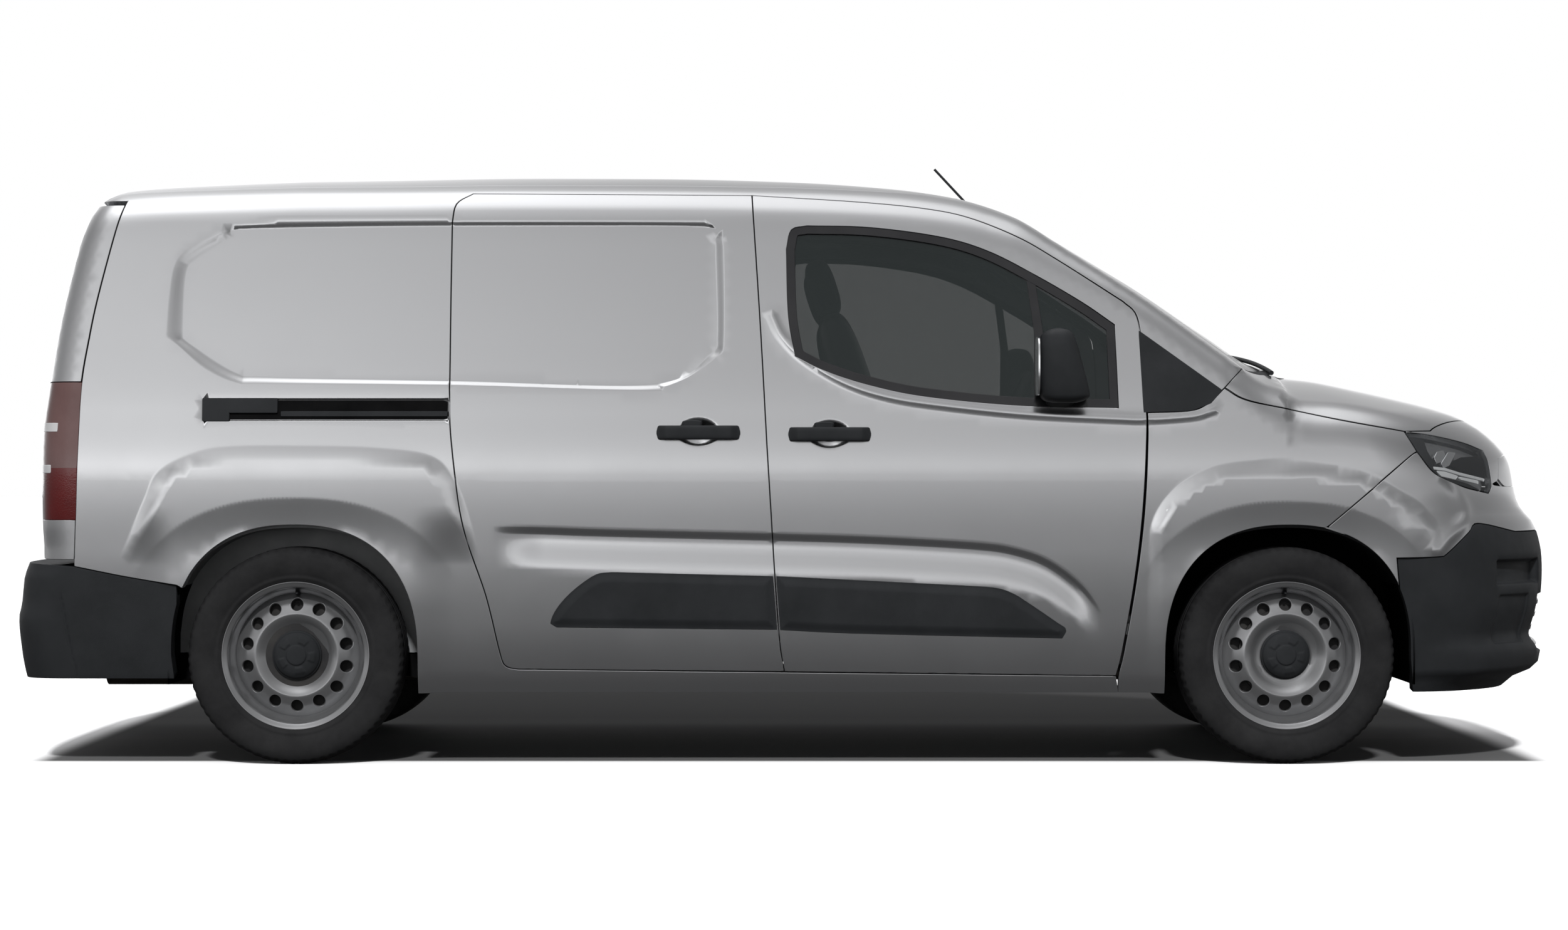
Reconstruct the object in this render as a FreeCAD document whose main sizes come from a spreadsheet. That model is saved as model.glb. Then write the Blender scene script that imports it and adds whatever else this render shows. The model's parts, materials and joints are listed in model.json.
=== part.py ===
import FreeCAD, Part
import math
import os
import Sketcher

Vector = FreeCAD.Vector

# Driving sizes of the van in millimetres, kept in one sheet
SIZES = {
    "wheelbase": 2975, "rear_overhang": 886, "front_overhang": 892, "half_body": 924, "roof_height": 1800,
    "track_front": 1553, "track_rear": 1568,
    "side_wall": 62, "roof_wall": 34, "end_wall": 58, "skin_wall": 24, "bumper_wall": 30,
    "nose_plan": 430, "tail_plan": 86, "nose_taper": 70, "tail_taper": 14,
    "shut_gap": 8, "swing_gap": 5, "seat_gap": 0.3, "sill_bottom": 214, "overrun": 60, "roof_seam": 690,
    "glass_wall": 5, "glass_inset": 6, "moulding_proud": 9,
    "header_place": 700, "header_sag": 70, "screen_base_place": 1512, "screen_base_sag": 140,
    "screen_top_half": 610, "screen_base_half": 770, "cowl_width": 70, "cowl_half": 800, "cowl_sag": 225,
    "bonnet_half": 900, "bonnet_front_place": 2150, "bonnet_front_sag": 250,
    "arch_reach": 368, "arch_rise": 392, "wheelhouse_reach": 396, "wheelhouse_depth": 262,
    "wheelhouse_wall": 12,
    "tyre_radius": 326, "tyre_width": 205, "tread_width": 176, "bead_radius": 214, "tyre_wall": 11,
    "rim_width": 178, "rim_lip": 221, "rim_seat": 209, "rim_well": 186, "rim_wall": 8, "disc_offset": 46,
    "disc_wall": 8, "hub_bore": 34, "vent_radius": 19, "vent_circle": 153,
    "cap_radius": 71, "cap_height": 24, "dish_radius": 124, "dish_rise": 26,
    "hub_radius": 66, "hub_length": 34, "kingpin_inset": 76,
    "disc_radius": 139, "brake_wall": 24, "upright_wall": 44, "upright_height": 250, "arm_reach": 110,
    "arm_wall": 26,
    "hinge_back": 40, "hinge_inset": 40, "hinge_lean": 5,
    "rear_hinge_ahead": 38, "rear_hinge_inset": 20, "lamp_swing": 176, "rear_split": -150,
    "floor_height": 548, "floor_wall": 32, "cab_floor_height": 420, "cab_half": 828, "bulkhead_place": -132,
    "bulkhead_wall": 24,
    "seat_width": 500, "seat_place": 250, "seat_spacing": 700, "seat_base_height": 300, "cushion_wall": 150,
    "seat_length": 520, "back_height": 640, "back_wall": 130, "back_lean": 18, "seat_round": 45,
    "head_height": 190,
    "head_width": 270, "head_wall": 90, "dash_depth": 430, "dash_height": 260, "dash_top": 1085,
    "dash_half": 740,
    "wheel_ring": 185, "ring_radius": 15, "column_radius": 24, "column_length": 330, "column_lean": 62,
    "column_place": 700, "column_height": 1035, "driver_side": 350, "boss_radius": 62, "boss_height": 40,
    "spoke_width": 40, "spoke_wall": 16,
    "engine_length": 470, "engine_height": 560, "engine_place": 1565, "engine_base": 330,
    "beam_wall": 58, "beam_width": 78, "beam_length": 1130, "trail_length": 390, "trail_wall": 52,
    "spring_radius": 52, "spring_inset": 70, "rear_hub_radius": 42, "drum_radius": 118,
    "rear_hub_length": 52, "rear_hub_room": 18,
    "frame_length": 330, "frame_wall": 46, "frame_base": 205, "rail_inner": 442, "rail_wall": 40,
    "rail_height": 70, "rail_end": 2190, "lower_arm_half": 20, "ball_radius": 25,
    "tank_length": 720, "tank_width": 560, "tank_height": 190, "tank_ahead": 40,
    "pipe_radius": 25, "pipe_height": 248, "silencer_radius": 80, "silencer_length": 460, "pipe_side": -330,
    "pipe_end": 221.5,
    "hanger_wall": 20,
    "antenna_length": 190, "antenna_radius": 4, "antenna_base": 20, "antenna_place": 591,
    "antenna_lean": 43,
    "mirror_reach": 1053, "mirror_width": 124, "mirror_height": 214, "mirror_depth": 190,
    "mirror_place": 785,
    "mirror_top": 1303, "mirror_round": 46, "mirror_foot_height": 1090, "mirror_foot_wall": 44,
    "handle_length": 246, "handle_wall": 26, "handle_proud": 36, "handle_height": 1014, "handle_leg": 30,
    "front_handle_place": 106, "slide_handle_place": -286,
    "cup_radius": 58, "cup_depth": 13, "recess_depth": 8, "rail_slot_depth": 12,
    "wiper_radius": 7, "lamp_wall": 70, "blade_sag": 77, "blade_span": 589,
    "rack_radius": 4.2, "rack_length": 700, "rack_width": 1120, "rack_place": -520,
}

doc = FreeCAD.newDocument("PanelVan")
sheet = doc.addObject("Spreadsheet::Sheet", "Sizes")
for row, (name, number) in enumerate(SIZES.items(), 1):
    sheet.set("A%d" % row, name)
    sheet.set("B%d" % row, str(number))
    sheet.setAlias("B%d" % row, name)
doc.recompute()


class Length(float):
    """A number that remembers the rule of sheet cells it was worked out from."""

    def __new__(cls, value, rule):
        made = float.__new__(cls, value)
        made.rule = rule
        return made

    def __add__(self, other):
        return Length(float(self) + float(other), "(%s + %s)" % (self.rule, rule_of(other)))

    def __sub__(self, other):
        return Length(float(self) - float(other), "(%s - %s)" % (self.rule, rule_of(other)))

    def __mul__(self, other):
        return Length(float(self) * float(other), "(%s * %s)" % (self.rule, rule_of(other)))

    def __truediv__(self, other):
        return Length(float(self) / float(other), "(%s / %s)" % (self.rule, rule_of(other)))

    def __neg__(self):
        return Length(-float(self), "(0 - %s)" % self.rule)

    __radd__ = __add__
    __rmul__ = __mul__


def rule_of(value):
    """The text of a value in a rule: its own rule, or the plain number."""
    return value.rule if isinstance(value, Length) else "%.9g" % value


class Values:
    """The sheet's cells as lengths that remember their alias."""

    def __getattr__(self, name):
        return Length(sheet.get(name), "Sizes." + name)


S = Values()

# Places that follow from the sheet
front_axle = (S.wheelbase + S.rear_overhang - S.front_overhang) / 2
rear_axle = front_axle - S.wheelbase
front_end = front_axle + S.front_overhang
rear_end = rear_axle - S.rear_overhang
length = S.wheelbase + S.rear_overhang + S.front_overhang


def along(share):
    """Place along the van: 0 to 1 between the axles, below 0 and above 1 in the overhangs."""
    if share < 0:
        return float(rear_axle + S.rear_overhang * share)
    if share > 1:
        return float(front_axle + S.front_overhang * (share - 1))
    return float(rear_axle + S.wheelbase * share)


def up(share):
    return float(S.roof_height * share)


# Half width of the side at a height, as shares of the roof height and of the half body
SIDE_SHARES = [(0.06, 0.91), (0.111, 0.938), (0.15, 0.961), (0.233, 0.977), (0.356, 0.987), (0.481, 0.991),
               (0.589, 0.975), (0.717, 0.941), (0.844, 0.897), (0.911, 0.866), (0.959, 0.822), (0.99, 0.745),
               (1.03, 0.56)]
# Height of the roof, windscreen and bonnet on the centre line, along the van
TOP_SHARES = [(-1.15, 0.87), (-1.0, 0.915), (-0.795, 0.953), (-0.661, 0.974), (-0.525, 0.982),
              (-0.257, 0.989),
              (0.084, 0.996), (0.232, 1.0), (0.365, 0.999), (0.501, 0.993), (0.606, 0.981), (0.669, 0.966),
              (0.726, 0.937), (0.77, 0.897), (0.852, 0.821), (0.935, 0.731), (0.985, 0.679), (1.045, 0.657),
              (1.18, 0.648), (1.318, 0.634), (1.453, 0.619), (1.59, 0.602), (1.726, 0.578), (1.862, 0.541),
              (2.0, 0.49), (2.15, 0.42)]
# Drop of that surface at the crown's own half width, along the van
CROWN_SHARES = [(-1.2, 0.02), (-0.6, 0.017), (0.6, 0.017), (0.73, 0.018), (0.83, 0.026), (0.93, 0.031),
                (1.04, 0.035),
                (1.3, 0.031), (2.2, 0.03)]
# Reach of the nose and tail past their axles at a height, on the centre line
NOSE_SHARES = [(0.06, 0.80), (0.111, 0.85), (0.13, 0.885), (0.155, 0.984), (0.182, 0.994), (0.209, 0.966),
               (0.236, 0.98), (0.263, 0.993), (0.317, 1.0), (0.344, 0.998), (0.371, 0.988), (0.398, 0.969),
               (0.426, 0.922), (0.452, 0.902), (0.478, 0.894), (0.507, 0.881), (0.533, 0.854), (0.561, 0.815),
               (0.611, 0.74), (0.75, 0.68), (1.1, 0.6)]
TAIL_SHARES = [(0.06, 0.914), (0.356, 0.914), (0.4, 0.919), (0.506, 0.922), (0.559, 0.917), (0.613, 0.901),
               (0.719, 0.865), (0.825, 0.815), (0.878, 0.785), (0.931, 0.744), (0.974, 0.69), (1.1, 0.5)]
REAR_BUMPER_SHARES = [(0.06, 0.90), (0.111, 0.93), (0.134, 0.966), (0.188, 0.99), (0.241, 1.0), (0.267, 0.99),
                      (0.311, 0.981), (0.333, 0.965), (0.4, 0.93), (0.6, 0.9), (1.1, 0.88)]
CROWN_HALF_SHARE = 0.7576
CROWN_POWER = 2.4
NOSE_POWER = 3.2
TAIL_POWER = 5.0
TAPER_START_SHARE = 0.87
TAPER_POWER = 2.5


def smooth(table, share):
    """Monotone cubic curve through the points of a table."""
    if share <= table[0][0]:
        return table[0][1]
    if share >= table[-1][0]:
        return table[-1][1]
    steps = [(b[1] - a[1]) / (b[0] - a[0]) for a, b in zip(table, table[1:])]
    slopes = [steps[0]]
    for before, after in zip(steps, steps[1:]):
        slopes.append(2 * before * after / (before + after) if before * after > 0 else 0.0)
    slopes.append(steps[-1])
    place = max(i for i, point in enumerate(table[:-1]) if point[0] <= share)
    (x0, y0), (x1, y1) = table[place], table[place + 1]
    reach = x1 - x0
    t = (share - x0) / reach
    return (y0 * (1 + 2 * t) * (1 - t) ** 2 + slopes[place] * reach * t * (1 - t) ** 2
            + y1 * t * t * (3 - 2 * t) - slopes[place + 1] * reach * t * t * (1 - t))


def half_width(x, z):
    """Outer half width of the body at a place along it and a height."""
    start = along(TAPER_START_SHARE)
    nose = max(0.0, (x - start) / (front_end - start))
    tail = max(0.0, x / rear_end)
    return (S.half_body * smooth(SIDE_SHARES, z / S.roof_height) - S.nose_taper * nose ** TAPER_POWER
            - S.tail_taper * tail ** 4)


def share_of(x):
    """The share along the van that along() turns into this place."""
    if x < rear_axle:
        return (x - rear_axle) / S.rear_overhang
    if x > front_axle:
        return 1 + (x - front_axle) / S.front_overhang
    return (x - rear_axle) / S.wheelbase


def top_height(x, y):
    """Height of the roof, windscreen or bonnet skin."""
    share = share_of(x)
    side = abs(y) / (S.half_body * CROWN_HALF_SHARE)
    return S.roof_height * (smooth(TOP_SHARES, share) - smooth(CROWN_SHARES, share) * side ** CROWN_POWER)


def nose_place(y, z):
    """Forward end of the body at a side place and a height."""
    reach = smooth(NOSE_SHARES, z / S.roof_height)
    return front_axle + S.front_overhang * reach - S.nose_plan * (abs(y) / S.half_body) ** NOSE_POWER


def tail_place(y, z, table=TAIL_SHARES):
    """Rearward end of the body at a side place and a height."""
    return (rear_axle - S.rear_overhang * smooth(table, z / S.roof_height)
            + S.tail_plan * (abs(y) / S.half_body) ** TAIL_POWER)


def spread(low, high, count):
    return [low + (high - low) * i / (count - 1) for i in range(count)]


DEGREE = 3
SIDE_NET = (26, 30)
TOP_NET = (44, 9)
END_NET = (17, 36)
BLOCK_LOW_SHARE = 0.07
BLOCK_HIGH_SHARE = 1.06
END_LOW_SHARE = 0.063
END_HIGH_SHARE = 1.07
PAST_END_SHARE = 0.53
TOP_END_SHARE = 0.535
PAST_SIDE_SHARE = 1.06
BLOCK_DEPTH_SHARE = 2.5
BLOCK_HEIGHT_SHARE = 1.2
BLOCK_LENGTH_SHARE = 1.5


def skin_face(rows):
    """A smooth cubic face shaped by an even net of points of its formula."""
    def knots(count):
        inner = count - DEGREE
        return [float(i) for i in range(inner + 1)], [DEGREE + 1] + [1] * (inner - 1) + [DEGREE + 1]
    along_knots, along_mults = knots(len(rows))
    across_knots, across_mults = knots(len(rows[0]))
    surface = Part.BSplineSurface()
    surface.buildFromPolesMultsKnots(rows, along_mults, across_mults, along_knots, across_knots, False, False,
                                     DEGREE, DEGREE)
    return surface.toShape()


def side_sheet(inset, thickness):
    """A sheet of the right side, from an inset inwards."""
    places = spread(-PAST_END_SHARE * length, PAST_END_SHARE * length, SIDE_NET[0])
    heights = spread(up(BLOCK_LOW_SHARE), up(BLOCK_HIGH_SHARE), SIDE_NET[1])
    rows = [[Vector(x, inset - half_width(x, z), z) for z in heights] for x in places]
    return skin_face(rows).extrude(Vector(0, thickness, 0))


def side_block(inset):
    """Everything inside both body sides, moved in by an inset."""
    right = side_sheet(inset, BLOCK_DEPTH_SHARE * S.half_body)
    return right.common(mirrored(right))


def top_sheet(inset, thickness):
    """A sheet of the roof, windscreen and bonnet, from an inset downwards."""
    places = spread(-TOP_END_SHARE * length, TOP_END_SHARE * length, TOP_NET[0])
    sides = spread(-PAST_SIDE_SHARE * S.half_body, PAST_SIDE_SHARE * S.half_body, TOP_NET[1])
    rows = [[Vector(x, y, top_height(x, y) - inset) for y in sides] for x in places]
    return skin_face(rows).extrude(Vector(0, 0, -thickness))


def top_block(inset):
    """Everything under the roof, windscreen and bonnet skin."""
    return top_sheet(inset, BLOCK_HEIGHT_SHARE * S.roof_height)


def end_sides():
    return spread(-PAST_SIDE_SHARE * S.half_body, PAST_SIDE_SHARE * S.half_body, END_NET[0])


def end_heights():
    return spread(up(END_LOW_SHARE), up(END_HIGH_SHARE), END_NET[1])


def nose_block(inset):
    """Everything behind the nose."""
    rows = [[Vector(nose_place(y, z) - inset, y, z) for z in end_heights()] for y in end_sides()]
    return skin_face(rows).extrude(Vector(-BLOCK_LENGTH_SHARE * length, 0, 0))


def tail_block(inset, table):
    """Everything ahead of the tail."""
    rows = [[Vector(tail_place(y, z, table) + inset, y, z) for z in end_heights()] for y in end_sides()]
    return skin_face(rows).extrude(Vector(BLOCK_LENGTH_SHARE * length, 0, 0))


def body_block(side, top, end, tail_table=TAIL_SHARES):
    block = side_block(side).common(top_block(top))
    return block.common(nose_block(end)).common(tail_block(end, tail_table))


def stroke(points, place):
    """Lines and curves end to end: a pair of points is a line, more are one smooth curve."""
    spots = [place(point) for point in points]
    if len(spots) == 2:
        return Part.makeLine(spots[0], spots[1])
    curve = Part.BSplineCurve()
    curve.interpolate(spots)
    return curve.toShape()


def side_spot(point):
    return Vector(along(point[0]), 0, up(point[1]))


def side_face(strokes):
    """The face inside a side view outline, whose strokes each start where the last ended."""
    return Part.Face(Part.Wire([stroke(points, side_spot) for points in strokes]))


def offset(face, grow):
    """A flat face grown or shrunk, its curved edges made plain splines again."""
    edges = []
    for edge in face.makeOffset2D(grow).OuterWire.OrderedEdges:
        plain = isinstance(edge.Curve, (Part.Line, Part.Circle))
        edges.append(edge if plain else edge.toNurbs().Edges[0])
    return Part.Face(Part.Wire(edges))


def side_prism(strokes, near, far, grow=0.0):
    """A side view outline, grown or shrunk, drawn out across the van."""
    face = side_face(strokes)
    if grow:
        face = offset(face, grow)
    face.translate(Vector(0, near, 0))
    return face.extrude(Vector(0, far - near, 0))


def box(x0, x1, y0, y1, z0, z1):
    return Part.makeBox(x1 - x0, y1 - y0, z1 - z0, Vector(x0, y0, z0))


def mirrored(shape):
    return shape.mirror(Vector(0, 0, 0), Vector(0, 1, 0))


def biggest(shape, count=1):
    """The largest solids of a shape, without slivers."""
    solids = sorted(shape.Solids, key=lambda solid: solid.Volume, reverse=True)[:count]
    return solids[0] if count == 1 else Part.makeCompound(solids)


nodes = {}


def keep(name, thing):
    """Register a finished sub-part under its own label."""
    thing.Label = name
    nodes[name] = thing
    return thing


def form(name, shape, place=FreeCAD.Placement()):
    """A sub-part whose free form is set from the sheet's sizes, then placed."""
    thing = doc.addObject("Part::Feature", name)
    thing.Shape = shape
    thing.Placement = place
    return keep(name, thing)


def part(kind, name, **sizes):
    """A primitive with its sizes bound to the sheet."""
    thing = doc.addObject("Part::" + kind, name)
    for key, value in sizes.items():
        thing.setExpression(key, rule_of(value))
    return thing


def put(thing, x, y, z, axis=None, angle=0):
    """Place an object by rules, turned about an axis."""
    if axis:
        thing.Placement = FreeCAD.Placement(Vector(0, 0, 0), FreeCAD.Rotation(axis, angle))
    thing.setExpression("Placement.Base.x", rule_of(x))
    thing.setExpression("Placement.Base.y", rule_of(y))
    thing.setExpression("Placement.Base.z", rule_of(z))
    return thing


def fused(name, things):
    thing = doc.addObject("Part::MultiFuse", name)
    thing.Shapes = things
    return thing


def cut(name, base, tool):
    thing = doc.addObject("Part::Cut", name)
    thing.Base = base
    thing.Tool = tool
    return thing


def together(name, things):
    """Solids of one node that don't touch."""
    thing = doc.addObject("Part::Compound", name)
    thing.Links = things
    return keep(name, thing)


def plane(body, role):
    return next(item for item in body.Origin.OriginFeatures if item.Role == role)


def polygon(body, name, role, points):
    """A closed sketch of straight edges, every corner bound to the sheet."""
    sketch = body.newObject("Sketcher::SketchObject", name)
    sketch.AttachmentSupport = [(plane(body, role), "")]
    sketch.MapMode = "FlatFace"
    spots = [Vector(float(x), float(y), 0) for x, y in points]
    for start, end in zip(spots, spots[1:] + spots[:1]):
        sketch.addGeometry(Part.LineSegment(start, end), False)
    count = len(points)
    for i in range(count):
        sketch.addConstraint(Sketcher.Constraint("Coincident", i, 2, (i + 1) % count, 1))
    for i, (x, y) in enumerate(points):
        for kind, value in (("DistanceX", x), ("DistanceY", y)):
            place = sketch.addConstraint(Sketcher.Constraint(kind, -1, 1, i, 1, float(value)))
            if isinstance(value, Length):
                sketch.setExpression("Constraints[%d]" % place, rule_of(value))
    return sketch


def spin(body, name, sketch):
    """Turn a sketch about its upright axis."""
    turned = body.newObject("PartDesign::Revolution", name)
    turned.Profile = sketch
    turned.ReferenceAxis = (sketch, ["V_Axis"])
    turned.Angle = 360
    return turned


def round_sketch(body, name, place, radius):
    """A circle on the level plane, at a distance from the axis."""
    sketch = body.newObject("Sketcher::SketchObject", name)
    sketch.AttachmentSupport = [(plane(body, "XY_Plane"), "")]
    sketch.MapMode = "FlatFace"
    sketch.addGeometry(Part.Circle(Vector(float(place), 0, 0), Vector(0, 0, 1), float(radius)), False)
    size = sketch.addConstraint(Sketcher.Constraint("Radius", 0, float(radius)))
    sketch.setExpression("Constraints[%d]" % size, rule_of(radius))
    away = sketch.addConstraint(Sketcher.Constraint("DistanceX", -1, 1, 0, 3, float(place)))
    sketch.setExpression("Constraints[%d]" % away, rule_of(place))
    sketch.addConstraint(Sketcher.Constraint("DistanceY", -1, 1, 0, 3, 0.0))
    return sketch


# Side view outlines, each point a share along the van and a share of the roof height
B_GAP_SHARES = [(0.493, 0.155), (0.487, 0.229), (0.477, 0.49), (0.469, 0.725), (0.46, 0.953)]
SLIDING_DOOR_SHARES = [
    [(0.493, 0.155), (0.225, 0.159)],
    [(0.225, 0.159), (0.213, 0.164), (0.207, 0.185), (0.193, 0.281), (0.17, 0.399), (0.158, 0.542),
     (0.156, 0.625)],
    [(0.156, 0.625), (0.156, 0.905)],
    [(0.156, 0.905), (0.16, 0.938), (0.176, 0.956)],
    [(0.176, 0.956), (0.46, 0.953)],
    B_GAP_SHARES[::-1],
]
DOOR_FRONT_SHARES = [(0.827, 0.148), (0.833, 0.19), (0.845, 0.307), (0.853, 0.42), (0.857, 0.54),
                     (0.857, 0.6), (0.854, 0.7)]
SWING_SHARES = DOOR_FRONT_SHARES[:-1] + [(0.8555, 0.65)]
FRONT_DOOR_SHARES = [
    B_GAP_SHARES,
    [(0.46, 0.953), (0.572, 0.941), (0.64, 0.929), (0.683, 0.913), (0.731, 0.88), (0.77, 0.842),
     (0.835, 0.772)],
    [(0.835, 0.772), (0.848, 0.75), (0.854, 0.7)],
    DOOR_FRONT_SHARES[::-1],
    [(0.827, 0.148), (0.493, 0.155)],
]
DOOR_WINDOW_SHARES = [
    [(0.504, 0.68), (0.497, 0.75), (0.495, 0.86)],
    [(0.495, 0.86), (0.5, 0.893), (0.516, 0.9)],
    [(0.516, 0.9), (0.58, 0.897), (0.651, 0.881), (0.699, 0.857), (0.746, 0.817), (0.793, 0.771),
     (0.826, 0.733)],
    [(0.826, 0.733), (0.829, 0.594)],
    [(0.829, 0.594), (0.729, 0.598), (0.635, 0.613), (0.579, 0.632), (0.532, 0.657), (0.504, 0.68)],
]
REAR_GAP_SHARES = [(-0.744, 0.33), (-0.738, 0.412), (-0.731, 0.529), (-0.722, 0.633), (-0.7, 0.71),
                   (-0.675, 0.778),
            (-0.626, 0.884), (-0.594, 0.944)]
TAIL_VIEW_SHARES = [
    REAR_GAP_SHARES,
    [REAR_GAP_SHARES[-1], (-1.2, 0.944)],
    [(-1.2, 0.944), (-1.2, 0.33)],
    [(-1.2, 0.33), REAR_GAP_SHARES[0]],
]
SIDE_PANEL_SHARES = [
    REAR_GAP_SHARES,
    [(-0.594, 0.944), (-1.0, 0.944)],
    [(-1.0, 0.944), (-1.0, 1.04)],
    [(-1.0, 1.04), (0.7, 1.04)],
    [(0.7, 1.04), (0.99, 0.8)],
    [(0.99, 0.8), (0.936, 0.627)],
    [(0.936, 0.627), (0.918, 0.6), (0.9, 0.589), (0.86, 0.586)],
    [(0.86, 0.586), (0.8565, 0.54), (0.8475, 0.37), (0.8405, 0.27), (0.833, 0.17), (0.83, 0.119)],
    [(0.83, 0.119), (-0.395, 0.119)],
    [(-0.395, 0.119), (-0.395, 0.3)],
    [(-0.395, 0.3), (-0.744, 0.33)],
]
FENDER_SHARES = [
    [(0.832, 0.119), (0.8345, 0.17), (0.842, 0.27), (0.849, 0.37), (0.858, 0.54), (0.8605, 0.584)],
    [(0.8605, 0.584), (0.9, 0.587), (0.919, 0.5985), (0.937, 0.625)],
    [(0.937, 0.625), (0.958, 0.607), (1.016, 0.591), (1.2, 0.572), (1.398, 0.554)],
    [(1.398, 0.554), (1.436, 0.522)],
    [(1.436, 0.522), (1.388, 0.505), (1.127, 0.394)],
    [(1.127, 0.394), (1.0, 0.2)],
    [(1.0, 0.2), (0.9, 0.119)],
    [(0.9, 0.119), (0.832, 0.119)],
]
BONNET_SHARES = [
    [(0.9, 0.64), (0.94, 0.6285), (0.96, 0.612), (1.018, 0.595), (1.2, 0.576), (1.4, 0.558)],
    [(1.4, 0.558), (1.5, 0.553), (1.6, 0.552), (1.72, 0.55)],
    [(1.72, 0.55), (1.9, 0.7)],
    [(1.9, 0.7), (0.9, 0.9)],
    [(0.9, 0.9), (0.9, 0.64)],
]
HEADLAMP_SHARES = [
    [(1.4, 0.5525), (1.49, 0.549), (1.62, 0.5365), (1.705, 0.523)],
    [(1.705, 0.523), (1.723, 0.503), (1.733, 0.464), (1.717, 0.451)],
    [(1.717, 0.451), (1.618, 0.461), (1.539, 0.474), (1.487, 0.49), (1.44, 0.52)],
    [(1.44, 0.52), (1.4, 0.5525)],
]
NOSE_PANEL_SHARES = [
    [(1.44, 0.5195), (1.39, 0.502), (1.127, 0.391)],
    [(1.127, 0.391), (1.127, 0.345)],
    [(1.127, 0.345), (1.513, 0.347), (1.54, 0.353), (1.618, 0.386), (1.657, 0.401), (1.815, 0.386),
     (2.2, 0.386)],
    [(2.2, 0.386), (2.2, 0.62)],
    [(2.2, 0.62), (1.5, 0.62)],
    [(1.5, 0.62), (1.44, 0.5195)],
]
FRONT_BUMPER_SHARES = [
    [(1.36, 0.3435), (1.513, 0.3455), (1.54, 0.3515), (1.618, 0.3845), (1.657, 0.3995), (1.815, 0.3845),
     (2.2, 0.3845)],
    [(2.2, 0.3845), (2.2, 0.1)],
    [(2.2, 0.1), (1.4, 0.118)],
    [(1.4, 0.118), (1.36, 0.3435)],
]
REAR_BUMPER_VIEW_SHARES = [
    [(-0.395, 0.298), (-0.72, 0.328), (-1.2, 0.336)],
    [(-1.2, 0.336), (-1.2, 0.14)],
    [(-1.2, 0.14), (-0.3, 0.14)],
    [(-0.3, 0.14), (-0.395, 0.298)],
]
CLADDING_SHARES = [
    [(0.258, 0.236), (0.26, 0.249), (0.284, 0.294), (0.304, 0.317), (0.319, 0.321)],
    [(0.319, 0.321), (0.481, 0.314), (0.674, 0.298), (0.705, 0.294)],
    [(0.705, 0.294), (0.737, 0.271), (0.768, 0.236), (0.776, 0.225), (0.772, 0.211)],
    [(0.772, 0.211), (0.571, 0.219), (0.481, 0.225), (0.264, 0.229)],
    [(0.264, 0.229), (0.258, 0.236)],
]
RECESS_SHARES = [
    [(-0.442, 0.712), (-0.435, 0.778), (-0.417, 0.837), (-0.358, 0.871), (-0.241, 0.897), (-0.108, 0.903)],
    [(-0.108, 0.903), (0.157, 0.908), (0.397, 0.906)],
    [(0.397, 0.906), (0.417, 0.903), (0.429, 0.884), (0.432, 0.844)],
    [(0.432, 0.844), (0.432, 0.699)],
    [(0.432, 0.699), (0.425, 0.679), (0.398, 0.646), (0.37, 0.627), (0.351, 0.624)],
    [(0.351, 0.624), (0.16, 0.632), (-0.094, 0.635), (-0.2, 0.637)],
    [(-0.2, 0.637), (-0.307, 0.66), (-0.401, 0.699), (-0.442, 0.712)],
]
RAIL_SLOT_SHARES = [(-0.31, 0.573), (0.1596, 0.573), (0.1596, 0.61), (-0.31, 0.61)]
CHEEK_TOP_SHARE = 0.34
LAMP_BASE_SHARE = 0.408
LAMP_TOP_SHARE = 0.637
DOOR_TOP_SHARE = 0.937
ROOF_LIP_SHARE = 0.944
DOOR_BASE_SHARE = 0.341
ARCH_POWER = 2.35
ARCH_POINTS = 9
HINGE_SHARE = (0.857, 0.516)
FLOOR_END_SHARE = -0.77
WIDEST_SHARE = 0.991
WAIST_SHARE = 0.481


def arch_prism(axle, reach, rise, near, far):
    """A wheel arch: a squarish half oval over the hub, straight below it."""
    hub = S.tyre_radius
    spots = []
    for turn in spread(0.0, math.pi, ARCH_POINTS):
        flat = math.copysign(abs(math.cos(turn)) ** (2 / ARCH_POWER), math.cos(turn))
        spots.append(Vector(axle + reach * flat, near, hub + rise * math.sin(turn) ** (2 / ARCH_POWER)))
    curve = Part.BSplineCurve()
    curve.interpolate(spots)
    foot = [spots[-1], Vector(axle - reach, near, -hub), Vector(axle + reach, near, -hub), spots[0]]
    edges = [curve.toShape()] + [Part.makeLine(a, b) for a, b in zip(foot, foot[1:])]
    return Part.Face(Part.Wire(edges)).extrude(Vector(0, far - near, 0))


def plan_band(back, back_sag, back_half, front, front_sag, front_half, low, high):
    """Upright block between two arcs seen from above, symmetric about the centre line."""
    def arc(place, sag, half):
        near, far = Vector(place - sag, -half, low), Vector(place - sag, half, low)
        if not sag:
            return Part.makeLine(near, far)
        return Part.Arc(near, Vector(place, 0, low), far).toShape()
    rear = arc(back, back_sag, back_half)
    fore = arc(front, front_sag, front_half)
    sides = [Part.makeLine(Vector(back - back_sag, side * back_half, low),
                           Vector(front - front_sag, side * front_half, low)) for side in (-1, 1)]
    wire = Part.Wire(Part.__sortEdges__([rear, sides[0], fore, sides[1]]))
    return Part.Face(wire).extrude(Vector(0, 0, high - low))


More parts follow.
